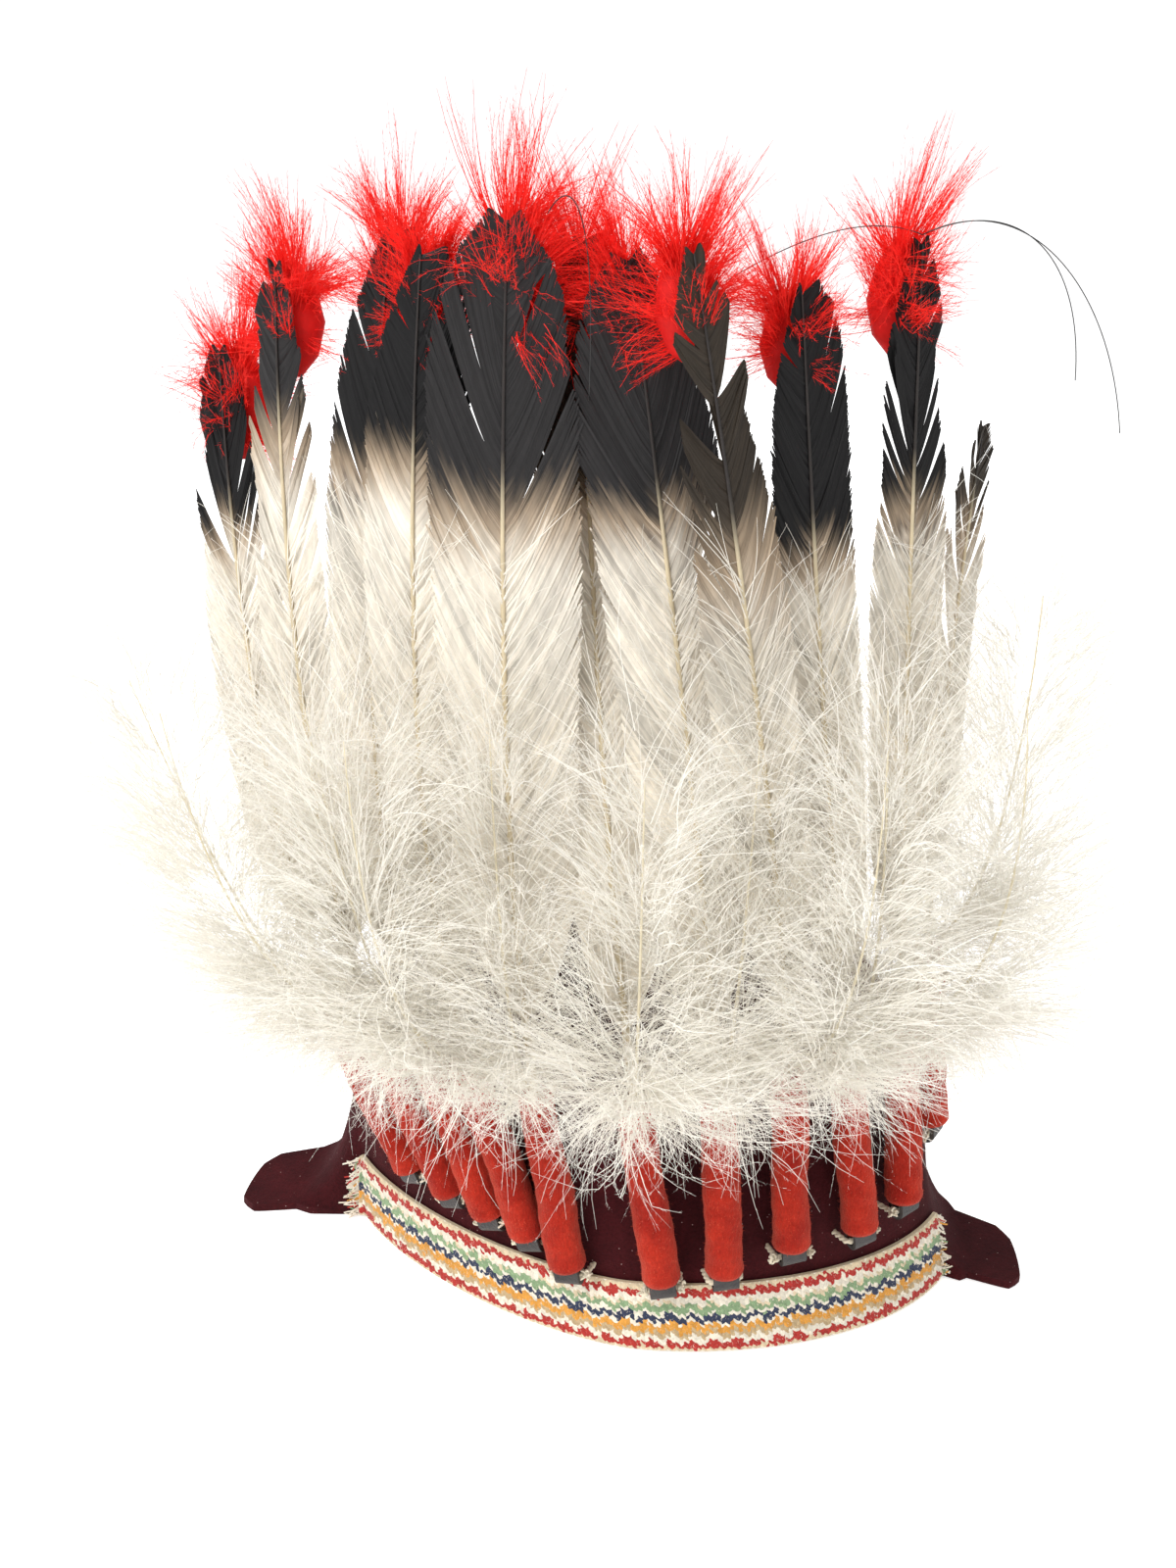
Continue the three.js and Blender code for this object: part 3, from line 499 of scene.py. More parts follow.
def suede_material():
    s = Shader("burgundy_suede")
    broad = s.noise(28.0, 4.0)
    nap = s.noise(1100.0, 5.0, 0.75)
    streak = s.noise(160.0, 4.0, 0.7, stretch=(1.0, 1.0, 0.2))
    colour = s.blended((0.021, 0.0024, 0.0034), (0.058, 0.0060, 0.0082), s.span(broad, 0.3, 0.7, 0.0, 1.0))
    colour = s.scaled(colour, s.span(nap, 0.25, 0.75, 0.55, 1.45))
    colour = s.scaled(colour, s.span(streak, 0.3, 0.7, 0.82, 1.18))
    lint = s.node("TexVoronoi", Vector=s.node("TexCoord").outputs["Object"], Scale=420.0).outputs["Distance"]
    colour = s.blended((0.42, 0.30, 0.28), colour, s.span(lint, 0.045, 0.075, 0.0, 1.0))
    height = s.bump(nap, 0.8, 0.0006)
    shade = principled(s, colour, 0.93, height, sheen=0.06, sheen_rough=0.4, sheen_tint=(0.75, 0.25, 0.28),
                       specular=0.15)
    return s.finish(shade)


def yarn_material(name, variation=0.2):
    s = Shader(name)
    fibre = s.noise(2200.0, 4.0, 0.7, stretch=(1.0, 1.0, 0.5))
    colour = s.scaled(s.tint(), s.span(fibre, 0.25, 0.75, 1 - variation, 1 + variation))
    shade = principled(s, colour, 0.92, s.bump(fibre, 0.7, 0.0003), sheen=0.2, sheen_rough=0.5, specular=0.15)
    return s.finish(shade)


def leather_material():
    s = Shader("dark_leather")
    grain = s.node("TexVoronoi", Vector=s.node("TexCoord").outputs["Object"], Scale=1700.0).outputs["Distance"]
    wear = s.noise(260.0, 4.0, 0.7)
    colour = s.blended((0.012, 0.011, 0.011), (0.060, 0.053, 0.050), s.span(wear, 0.35, 0.75, 0.0, 1.0))
    shade = principled(s, colour, s.span(wear, 0.3, 0.7, 0.42, 0.68), s.bump(grain, 0.5, 0.0003), specular=0.5)
    return s.finish(shade)


def vane_material():
    s = Shader("wing_vane")
    streak = s.noise(420.0, 3.0, 0.6, stretch=(1.0, 1.0, 0.35))
    tone = s.span(streak, 0.3, 0.7, 0.88, 1.12)
    colour = s.scaled(s.tint(), tone)
    face = principled(s, colour, 0.5, s.bump(streak, 0.25, 0.0003), sheen=0.02, sheen_rough=0.4, specular=0.25)
    back = s.node("BsdfTranslucent", Color=colour).outputs[0]
    both = s.node("MixShader")
    s.put(both.inputs[0], 0.22)
    s.put(both.inputs[1], face)
    s.put(both.inputs[2], back)
    return s.finish(both.outputs[0])


def horn_material():
    s = Shader("quill_horn")
    cloud = s.noise(240.0, 3.0)
    colour = s.scaled(s.tint(), s.span(cloud, 0.3, 0.7, 0.9, 1.08))
    return s.finish(principled(s, colour, 0.38, specular=0.5))


WHITE_DOWN = thin_material("white_down", 0.42, rough=0.75, variation=0.06)
RED_DOWN = thin_material("scarlet_down", 0.35, rough=0.7, variation=0.12)
VANE = vane_material()
FELT = felt_material()
SUEDE = suede_material()
YARN = yarn_material("woven_yarn")
CORD = yarn_material("cream_cord", 0.12)
LEATHER = leather_material()
HAIR = thin_material("black_horsehair", 0.05, rough=0.35, variation=0.1, specular=0.5)

# ---------------------------------------------------------------- camera, lights and floor
CAMERA_AZIMUTH = math.radians(5)
CAMERA_ELEVATION = math.radians(23)
CAMERA_ROLL = math.radians(3)
CAMERA_DISTANCE = 600.0
LOOK_AT = np.array([-24.0, 0.0, 138.0])
FOCAL_SHARE = 2350 / 1600


def add_camera():
    data = bpy.data.cameras.new("camera")
    data.sensor_width = 36.0
    data.lens = 36.0 * FOCAL_SHARE
    data.clip_start, data.clip_end = 0.01, 50.0
    camera = bpy.data.objects.new("camera", data)
    bpy.context.scene.collection.objects.link(camera)
    a, e = CAMERA_AZIMUTH, CAMERA_ELEVATION
    back = np.array([math.sin(a) * math.cos(e), -math.cos(a) * math.cos(e), math.sin(e)])
    right = np.array([math.cos(a), math.sin(a), 0.0])
    over = np.cross(back, right)
    x = right * math.cos(CAMERA_ROLL) + over * math.sin(CAMERA_ROLL)
    y = -right * math.sin(CAMERA_ROLL) + over * math.cos(CAMERA_ROLL)
    turned = Matrix(np.stack([x, y, back], axis=1).tolist()).to_4x4()
    camera.matrix_world = Matrix.Translation(Vector((LOOK_AT + SHIFT + back * CAMERA_DISTANCE) * MM)) @ turned
    bpy.context.scene.camera = camera


def add_light(name, place, aim, size, power, colour=(1, 1, 1)):
    data = bpy.data.lights.new(name, "AREA")
    data.shape = "RECTANGLE"
    data.size, data.size_y = size
    data.energy = power
    data.color = colour
    light = bpy.data.objects.new(name, data)
    bpy.context.scene.collection.objects.link(light)
    light.location = place
    light.rotation_euler = (Vector(aim) - Vector(place)).to_track_quat("-Z", "Y").to_euler()


def add_studio():
    middle = (0.0, 0.0, 0.14)
    add_light("key", (-0.55, -0.75, 0.95), middle, (0.6, 0.6), 13.0)
    add_light("fill", (0.85, -0.7, 0.55), middle, (0.9, 0.9), 1.6)
    add_light("top", (0.0, 0.15, 1.2), middle, (1.0, 1.0), 3.2)
    add_light("rim", (0.2, 0.9, 0.6), middle, (0.9, 0.6), 2.5)
    world = bpy.data.worlds.new("studio")
    bpy.context.scene.world = world
    world.use_nodes = True
    world.node_tree.nodes["Background"].inputs["Color"].default_value = (1, 1, 1, 1)
    world.node_tree.nodes["Background"].inputs["Strength"].default_value = 0.58
    bpy.context.scene.view_settings.view_transform = "Standard"
    size = 6.0
    mesh = bpy.data.meshes.new("floor")
    mesh.from_pydata([(-size, -size, 0), (size, -size, 0), (size, size, 0), (-size, size, 0)], [], [(0, 1, 2, 3)])
    s = Shader("pale_floor")
    shade = s.node("BsdfPrincipled", Roughness=0.9)
    shade.inputs["Base Color"].default_value = (0.93, 0.93, 0.93, 1)
    shade.inputs["Emission Color"].default_value = (1, 1, 1, 1)
    shade.inputs["Emission Strength"].default_value = 0.55
    mesh.materials.append(s.finish(shade.outputs[0]))
    floor = bpy.data.objects.new("floor", mesh)
    floor.location.z = -0.0002
    bpy.context.scene.collection.objects.link(floor)


# ---------------------------------------------------------------- the cap
def cap_rows():
    """The cap's outer surface in rows from the crown to the flaps' tips, and its directions."""
    angles = np.concatenate([np.linspace(-180, 180, 181)[:-1], []])
    fold = np.array([s * (FLAP_ANGLE + d) for s in (-1, 1) for d in (-15.2, -14.4, -13.2, 13.2, 14.4, 15.2)])
    angles = np.sort(np.concatenate([angles, fold]))
    rows = []
    for height in [111.9, 111.4, 110.4, 108.5, 105.5, 102, 98, 93.5, 88.5, 83, 77, 70, 63, 57, 50.5]:
        rows.append(plan_point(angles, rim_radius(angles) * soft_wall_size(height), height))
    downs = np.linspace(0, 1, 19)
    for down in downs:
        rows.append(wall_point(angles, down))
    rim_row = len(rows) - 1
    tips = np.where(np.abs(np.abs(angles) - FLAP_ANGLE) <= FLAP_CORE + 0.01)[0]
    rim = rows[-1]
    middle = {s: plan_point(s * FLAP_ANGLE, rim_radius(s * FLAP_ANGLE), 0.0) for s in (-1, 1)}
    for part in (0.2, 0.4, 0.6, 0.8, 0.93, 1.0):
        row = rim.copy()
        side = np.sign(angles[tips])
        spread = (np.abs(angles[tips]) - FLAP_ANGLE) / FLAP_CORE
        cut = FLAP_TIP_CUT * 0.5 * smooth((np.abs(spread) - 0.55) / 0.45) * part ** 4
        row[tips] += flap_direction(angles[tips]) * (FLAP_TONGUE * part - cut)[:, None]
        centre = np.array([middle[int(s)][1] for s in side])
        row[tips, 1] -= (rim[tips, 1] - centre) * 0.1 * part
        row[tips, 2] = CAP_SKIN
        rows.append(row)
    rows = np.array(rows)
    down_way = np.concatenate([rows[1:], rows[-1:]]) - np.concatenate([rows[:1], rows[:-1]])
    side_way = np.roll(rows, -1, axis=1) - np.roll(rows, 1, axis=1)
    normals = unit(np.cross(down_way, side_way))
    share = flap_share(angles)[:, None]
    level = plan_point(angles, 1.0, 0.0) - np.array([0, CAP_CENTRE_Y, 0])
    rim_normal = unit(unit(level) * (1 - share) + UP * share)
    normals[rim_row] = rim_normal
    rows[rim_row][:, 2] = CAP_SKIN * rim_normal[:, 2]
    normals[rim_row + 1:] = UP
    return angles, rows, normals, rim_row, tips


def cap_piece():
    angles, rows, normals, rim_row, tips = cap_rows()
    rng = np.random.default_rng(11)
    build = Build()
    inner = rows - normals * CAP_SKIN
    white = (1, 1, 1)
    body = slice(0, rim_row + 1)
    build.grid(rows[body], white, ring=True, flip=True)
    build.grid(inner[body], white, ring=True)
    build.grid(np.stack([rows[rim_row], inner[rim_row]]), white, ring=True, flip=True)
    crown = plan_point(0.0, 0.0, CAP_HEIGHT)
    for layer, drop, flip in ((rows, 0, True), (inner, CAP_SKIN, False)):
        peak = np.broadcast_to(crown - UP * drop, layer[0].shape)
        build.grid(np.stack([peak, layer[0]]), white, ring=True, flip=flip)
    for side in (-1, 1):
        columns = tips[np.sign(angles[tips]) == side]
        top = rows[rim_row:, columns]
        under = inner[rim_row:, columns]
        build.grid(top, white, flip=True)
        build.grid(under, white)
        edge = np.concatenate([top[:, 0], top[-1, 1:], top[::-1, -1][1:]])
        edge_under = np.concatenate([under[:, 0], under[-1, 1:], under[::-1, -1][1:]])
        build.grid(np.stack([edge_under, edge]), white, flip=True)
    dress(build, "suede_cap", SUEDE, "cap_suede", "cap")
    # Short fibres and lint that stand on the suede.
    fuzz = Build()
    r = rng.integers(14, len(rows) - 1, 3600)
    c = rng.integers(0, len(angles), 3600)
    keep = (r < rim_row) | np.isin(c, tips)
    r, c = r[keep], c[keep]
    t = rng.random((len(r), 1))
    root = rows[r, c] * (1 - t) + rows[np.minimum(r + 1, len(rows) - 1), c] * t
    way = unit(normals[r, c] * 0.5 + rng.normal(size=root.shape) * 0.6)
    size = rng.uniform(0.4, 1.1, (len(r), 1))
    tone = mix(np.array([0.05, 0.008, 0.011]), np.array([0.14, 0.04, 0.045]), rng.random(len(r)) ** 2)
    tip = root + way * size
    tip[:, 2] = np.maximum(tip[:, 2], 0.1)
    fuzz.spikes(root, unit(np.cross(way, UP)) * 0.035, tip, tone)
    dress(fuzz, "suede_nap", thin_material("suede_fibre", 0.1), "cap_suede")


# ---------------------------------------------------------------- the woven brow trim
CREAM = (0.68, 0.56, 0.38)
PALE = (0.78, 0.72, 0.60)
BRICK = (0.42, 0.035, 0.028)
SAGE = (0.25, 0.36, 0.20)
NAVY = (0.035, 0.045, 0.085)
OCHRE = (0.66, 0.31, 0.055)
TAN = (0.50, 0.37, 0.21)
STITCH_ROWS = 22
STITCH_PITCH = 1.12


def stitch_colour(u, row, rng):
    """The colour of a stitch at a place along the trim, and a row from the top."""
    wave = 0.8 * math.sin(2 * math.pi * u / 5.6)
    scallop = 1.5 * abs(math.sin(math.pi * u / 6.0)) ** 0.7
    at = row + 0.35 * rng.normal()
    if at < 1.0:
        return CREAM
    if at < 2.3 + scallop:
        return BRICK
    at += wave
    for edge, colour in ((5.6, PALE), (6.3, CREAM), (8.6, SAGE), (9.5, PALE), (11.6, NAVY), (12.4, PALE),
                         (15.0, OCHRE), (16.6, TAN), (18.4, PALE)):
        if at < edge:
            return colour
    if at - wave < 20.6:
        return BRICK
    return CREAM


def trim_piece():
    rng = np.random.default_rng(5)
    angles = np.linspace(-TRIM_END_ANGLE, TRIM_END_ANGLE, 900)
    top_down = 1 - (TRIM_FLOOR_GAP + TRIM_HEIGHT) / FLAP_BEND_HEIGHT
    low_down = 1 - TRIM_FLOOR_GAP / FLAP_BEND_HEIGHT
    levels = np.linspace(top_down, low_down, 9)
    face = np.array([wall_point(angles, d) for d in levels])
    marks = np.concatenate([[0], np.cumsum(np.linalg.norm(np.diff(face[4], axis=0), axis=1))])
    length = marks[-1]
    out = unit(np.cross(np.gradient(face, axis=1), UP))
    stand = TRIM_GAP + TRIM_THICKNESS

    def spot(u, v):
        """Places and outward directions at lengths u and shares v down the trim."""
        i = np.interp(u, marks, np.arange(len(angles)))
        lo = np.clip(i.astype(int), 0, len(angles) - 2)
        f = (i - lo)[..., None]
        k = np.clip(v, 0, 1) * (len(levels) - 1)
        low = np.clip(k.astype(int), 0, len(levels) - 2)
        g = (k - low)[..., None]

        def value(table):
            a = table[low, lo] * (1 - f) + table[low, lo + 1] * f
            b = table[low + 1, lo] * (1 - f) + table[low + 1, lo + 1] * f
            return a * (1 - g) + b * g

        return value(face), unit(value(out))

    backing = Build()
    u = np.linspace(0, length, 220)
    v = np.linspace(0, 1, 9)
    uu, vv = np.meshgrid(u, v)
    p, n = spot(uu, vv)
    front, back = p + n * (stand - 0.35), p + n * TRIM_GAP
    backing.grid(front, PALE)
    backing.grid(back, PALE, flip=True)
    loop = [front[0], front[:, -1], front[-1, ::-1], front[::-1, 0]]
    loop_back = [back[0], back[:, -1], back[-1, ::-1], back[::-1, 0]]
    backing.grid(np.stack([np.concatenate(loop_back), np.concatenate(loop)]), CREAM)
    # The knitted face: small leaning loops of yarn in rows.
    count = int(length / STITCH_PITCH)
    pieces, tints = [], []
    across = np.linspace(-1, 1, 3)
    row_height = TRIM_HEIGHT / STITCH_ROWS
    for row in range(STITCH_ROWS):
        for k in range(count):
            u0 = (k + 0.5) * STITCH_PITCH + 0.12 * rng.normal()
            v0 = (row + 0.5) * row_height + 0.10 * rng.normal()
            lean = (0.32 if k % 2 else -0.32) + 0.12 * rng.normal()
            pieces.append((u0, v0, lean, rng.uniform(0.9, 1.15)))
            tints.append(np.array(stitch_colour(u0, row, rng)) * rng.uniform(0.86, 1.1))
    pieces = np.array(pieces)
    tints = np.array(tints)
    a, b = np.meshgrid(across, np.linspace(-1, 1, 3), indexing="ij")
    width = 0.62 * STITCH_PITCH * np.sqrt(np.clip(1 - 0.35 * b * b, 0, 1)) * a
    du = width[None] + pieces[:, 2, None, None] * b[None] * row_height
    dv = (0.86 * row_height * b)[None] * pieces[:, 3, None, None]
    rise = 0.55 * (1 - a * a) * (1 - 0.75 * b * b) - 0.28
    p, n = spot(pieces[:, 0, None, None] + du, (pieces[:, 1, None, None] + dv) / TRIM_HEIGHT)
    p = p + n * (stand - 0.1 + rise[None, ..., None])
    p[..., 2] = np.maximum(p[..., 2], 0.1)
    m = len(pieces)
    index = np.arange(9).reshape(3, 3)
    quads = np.stack([index[:-1, :-1], index[:-1, 1:], index[1:, 1:], index[1:, :-1]], axis=-1).reshape(-1, 4)
    faces = (np.arange(m)[:, None, None] * 9 + quads[None]).reshape(-1, 4)
    side = math.ceil(math.sqrt(m))
    cell = np.stack([np.arange(m) % side, np.arange(m) // side], axis=-1) / side
    local = np.stack([a.ravel()[quads], b.ravel()[quads]], axis=-1) * 0.4 + 0.5
    uv = (cell[:, None, None, :] + local[None] / side).reshape(-1, 4, 2)
    backing.add(p.reshape(-1, 3), tints[:, None, :].repeat(9, axis=1).reshape(-1, 3), faces, uv)
    # Loose threads at both ends, and a little fuzz over the knitted face.
    n_end = 90
    for u_end, way in ((0.0, -1.0), (length, 1.0)):
        v_end = rng.random(n_end)
        root, out_way = spot(np.full(n_end, u_end), v_end)
        step = spot(np.full(n_end, abs(u_end - 2.0)), v_end)[0]
        away = unit(root - step)
        length_of = rng.uniform(1.2, 4.2, (n_end, 1))
        c1 = root + out_way * stand + away * length_of * 0.4 + rng.normal(size=root.shape) * 0.3
        c2 = c1 + away * length_of * 0.5 + rng.normal(size=root.shape) * 0.8 + out_way * 0.4
        path = bezier([root + out_way * (stand - 0.3), c1, c2], np.linspace(0, 1, 6))
        path[..., 2] = np.maximum(path[..., 2], 0.4)
        wide = unit(np.cross(np.gradient(path, axis=1), out_way[:, None, :])) * 0.22
        colour = np.array([PALE, CREAM, OCHRE, BRICK, SAGE])[rng.integers(0, 5, n_end)]
        colour = np.where(rng.random((n_end, 1)) < 0.6, np.array(PALE), colour)
        backing.ribbons(path, wide, colour[:, None, :])
    n_fuzz = 3000
    root, out_way = spot(rng.uniform(0, length, n_fuzz), rng.random(n_fuzz) ** 1.0)
    way = unit(out_way + rng.normal(size=root.shape) * 0.8)
    tip = root + out_way * stand + way * rng.uniform(0.3, 0.9, (n_fuzz, 1))
    tip[:, 2] = np.maximum(tip[:, 2], 0.1)
    backing.spikes(root + out_way * stand, unit(np.cross(way, UP)) * 0.05, tip, PALE)
    dress(backing, "woven_brow_trim", YARN, "woven_trim", "brow_trim")


# ---------------------------------------------------------------- wraps, loops and lacing
def wrap_piece(number, place):
    rng = np.random.default_rng(100 + number)
    rows, columns = 46, 30
    t = np.linspace(0, 1, rows)
    turn = 2 * np.pi * np.arange(columns) / columns
    axis_line = place["foot"] + place["axis"] * WRAP_LENGTH * t[:, None]
    radius = WRAP_RADIUS + (WRAP_TOP_RADIUS - WRAP_RADIUS) * t
    ends = np.minimum(1, np.sqrt(np.clip(t / 0.02, 0, 1)) * 0.12 + 0.9)
    ends *= 1 - 0.10 * smooth((t - 0.93) / 0.07)
    bulge = sum(rng.uniform(0.1, 0.22) * np.sin(turn[None] * k + 2 * np.pi * (t[:, None] * rng.uniform(0.6, 2) + rng.random()))
                for k in (1, 2, 3))
    ripple = 0.10 * np.sin(2 * np.pi * (t[:, None] * rng.uniform(7, 10) + 0.15 * np.sin(turn[None] * 2)))
    r = (radius * ends)[:, None] + bulge * np.clip(1 - np.abs(2 * t - 1)[:, None] ** 6, 0, 1) + ripple
    ring = np.cos(turn)[None, :, None] * place["out"] + np.sin(turn)[None, :, None] * place["across"]
    surface = axis_line[:, None, :] + r[..., None] * ring
    # Both ends turn inward to the loop and to the quill.
    foot_in = [axis_line[0] + place["axis"] * d + s * r[0][:, None] * ring[0] for d, s in ((-0.05, 0.93), (0.5, 0.6))]
    top_in = [axis_line[-1] + place["axis"] * d + s * r[-1][:, None] * ring[0] for d, s in ((0.25, 0.8), (-0.6, 0.42))]
    build = Build()
    build.grid(np.concatenate([foot_in[::-1], surface, top_in]), (1, 1, 1), ring=True, flip=True)
    made = dress(build, f"felt_wrap_{number:02d}", FELT, "wrap_felt", f"wrap_{number:02d}")
    # Wool fibres that stand on the felt.
    fuzz = Build()
    n = 2100
    i, j = rng.integers(0, rows - 1, n), rng.integers(0, columns, n)
    f = rng.random((n, 1))
    root = surface[i, j] * (1 - f) + surface[i + 1, j] * f
    out = ring[0][j] if ring.shape[0] == 1 else ring[i % ring.shape[0], j]
    way = unit(out * 0.55 + rng.normal(size=root.shape) * 0.55)
    tone = mix(np.array([0.40, 0.02, 0.010]), np.array([0.86, 0.16, 0.08]), rng.random(n))
    fuzz.spikes(root - out * 0.1, unit(np.cross(way, out)) * 0.045, root + way * rng.uniform(0.35, 1.0, (n, 1)), tone)
    fuzz_piece = dress(fuzz, f"felt_fibres_{number:02d}", RED_DOWN, "wrap_felt")
    return made, fuzz_piece


def lace_points(places):
    drop = LOOP_DROP - LOOP_HALF_DEPTH
    reach = LOOP_WIDTH / 2 + 0.8
    path = []
    for place in places:
        hold = place["foot"] - place["axis"] * drop
        level = unit(place["across"] * np.array([1, 1, 0]))
        for side in (-1, 1):
            outside = hold + place["across"] * side * reach
            inside = outside - place["outward"] * LACE_INWARD + level * side * 0.5
            path += [inside, outside] if side < 0 else [outside, inside]
    return np.array(path)


def lacing_piece(places):
    """A cord of two twisted yarns through every loop, with a worn knot beside most loops."""
    corners = lace_points(places)
    path = []
    for a, b in zip(corners, corners[1:]):
        steps = max(3, int(np.linalg.norm(b - a) / 0.8))
        path += [a + (b - a) * k / steps for k in range(steps)]
    path = np.array(path + [corners[-1]])
    for _ in range(2):
        path[1:-1] = 0.25 * path[:-2] + 0.5 * path[1:-1] + 0.25 * path[2:]
    along = unit(np.gradient(path, axis=0))
    side = unit(np.cross(along, UP))
    other = np.cross(side, along)
    marks = np.concatenate([[0], np.cumsum(np.linalg.norm(np.diff(path, axis=0), axis=1))])
    build = Build()
    for phase in (0, math.pi):
        turn = 2 * np.pi * marks / 3.2 + phase
        yarn = path + 0.42 * (np.cos(turn)[:, None] * side + np.sin(turn)[:, None] * other)
        build.tube(yarn, 0.5, 6, (0.74, 0.66, 0.50), start_side=side[0])
    rng = np.random.default_rng(77)
    drop = LOOP_DROP - LOOP_HALF_DEPTH
    for place in places:
        for way in (-1, 1):
            if rng.random() < 0.25:
                continue
            middle = place["foot"] - place["axis"] * (drop - 0.3) + place["across"] * way * (LOOP_WIDTH / 2 + 1.3)
            n = 13
            ends = middle + rng.normal(size=(n, 3)) * 0.75
            c1 = middle + rng.normal(size=(n, 3)) * 1.5
            start = middle + rng.normal(size=(n, 3)) * 0.5
            loops = bezier([start, c1, ends + place["out"] * 0.4], np.linspace(0, 1, 7))
            for curl in loops:
                build.tube(curl, 0.30, 5, np.array((0.78, 0.71, 0.55)) * rng.uniform(0.8, 1.1))
    dress(build, "twisted_lacing", CORD, "lacing", "lacing_cord")


def loop_piece(number, place):
    """A strip of leather bent to a U under the wrap, its legs tucked up inside it."""
    turn = np.radians(np.linspace(0, 180, 19))
    bend = -(LOOP_DROP - LOOP_HALF_DEPTH)
    rng = np.random.default_rng(300 + number)
    build = Build()
    faces = []
    for half in (LOOP_HALF_DEPTH, LOOP_HALF_DEPTH - 1.1):
        depth = np.concatenate([[half] * 3, half * np.cos(turn), [-half] * 3])
        rise = np.concatenate([[4.4, 2.2, 0.0], bend - half * np.sin(turn), [0.0, 2.2, 4.4]])
        rows = []
        for side in np.linspace(-1, 1, 7):
            edge = side * LOOP_WIDTH / 2 * (1 - 0.03 * rng.random())
            rows.append(place["foot"] + np.outer(depth, place["out"]) + np.outer(rise, place["axis"])
                        + place["across"] * edge)
        faces.append(np.array(rows).transpose(1, 0, 2))
    outer, inner = faces
    build.grid(outer, (1, 1, 1))
    build.grid(inner, (1, 1, 1), flip=True)
    for column in (0, -1):
        build.grid(np.stack([outer[:, column], inner[:, column]]), (1, 1, 1))
    dress(build, f"leather_loop_{number:02d}", LEATHER, "loop_leather", f"loop_{number:02d}")


# ---------------------------------------------------------------- feathers
def vane_frame(station, line, share):
    """The feather's middle at shares of its length, with its face and its right-hand way."""
    turn = math.radians(station["turn"])
    facing = np.array([math.sin(turn), -math.cos(turn), 0.0])
    p, along = line.at(share), line.along(share)
    face = unit(facing - along * (along @ facing)[..., None])
    right = unit(np.cross(face, along) * -1)
    way = np.array([math.cos(turn), math.sin(turn), 0.0])
    right = right * np.sign(right @ way)[..., None]
    return p, along, face, right


def feather_tint(height, look, shade):
    """White, then tan, then dark with height, with thin dark bars under the change."""
    rise = (height - look["turns"]) / look["blend"]
    shape = (*rise.shape, 3)
    white = np.broadcast_to(np.array([0.76, 0.71, 0.62]), shape)
    tan = np.broadcast_to(np.array([0.33, 0.225, 0.13]), shape)
    dark = np.broadcast_to(np.array(look["dark"]), shape)
    colour = mix(white, tan, smooth(rise + 1.0) * 0.85)
    colour = mix(colour, dark, smooth((rise + 0.3) / 0.8))
    for bar in range(look["bars"]):
        centre = look["turns"] - look["blend"] * 0.3 - 5.0 * bar
        band = np.exp(-((height - centre) / 0.9) ** 2) * (0.8 - 0.12 * bar)
        colour = mix(colour, np.broadcast_to(np.array([0.09, 0.065, 0.05]), shape), band)
    return colour * shade


def clumps(rng, n, smallest, largest):
    """A clump number for each of n barbs."""
    sizes = []
    while sum(sizes) < n:
        sizes.append(int(rng.integers(smallest, largest)))
    return np.repeat(np.arange(len(sizes)), sizes)[:n]


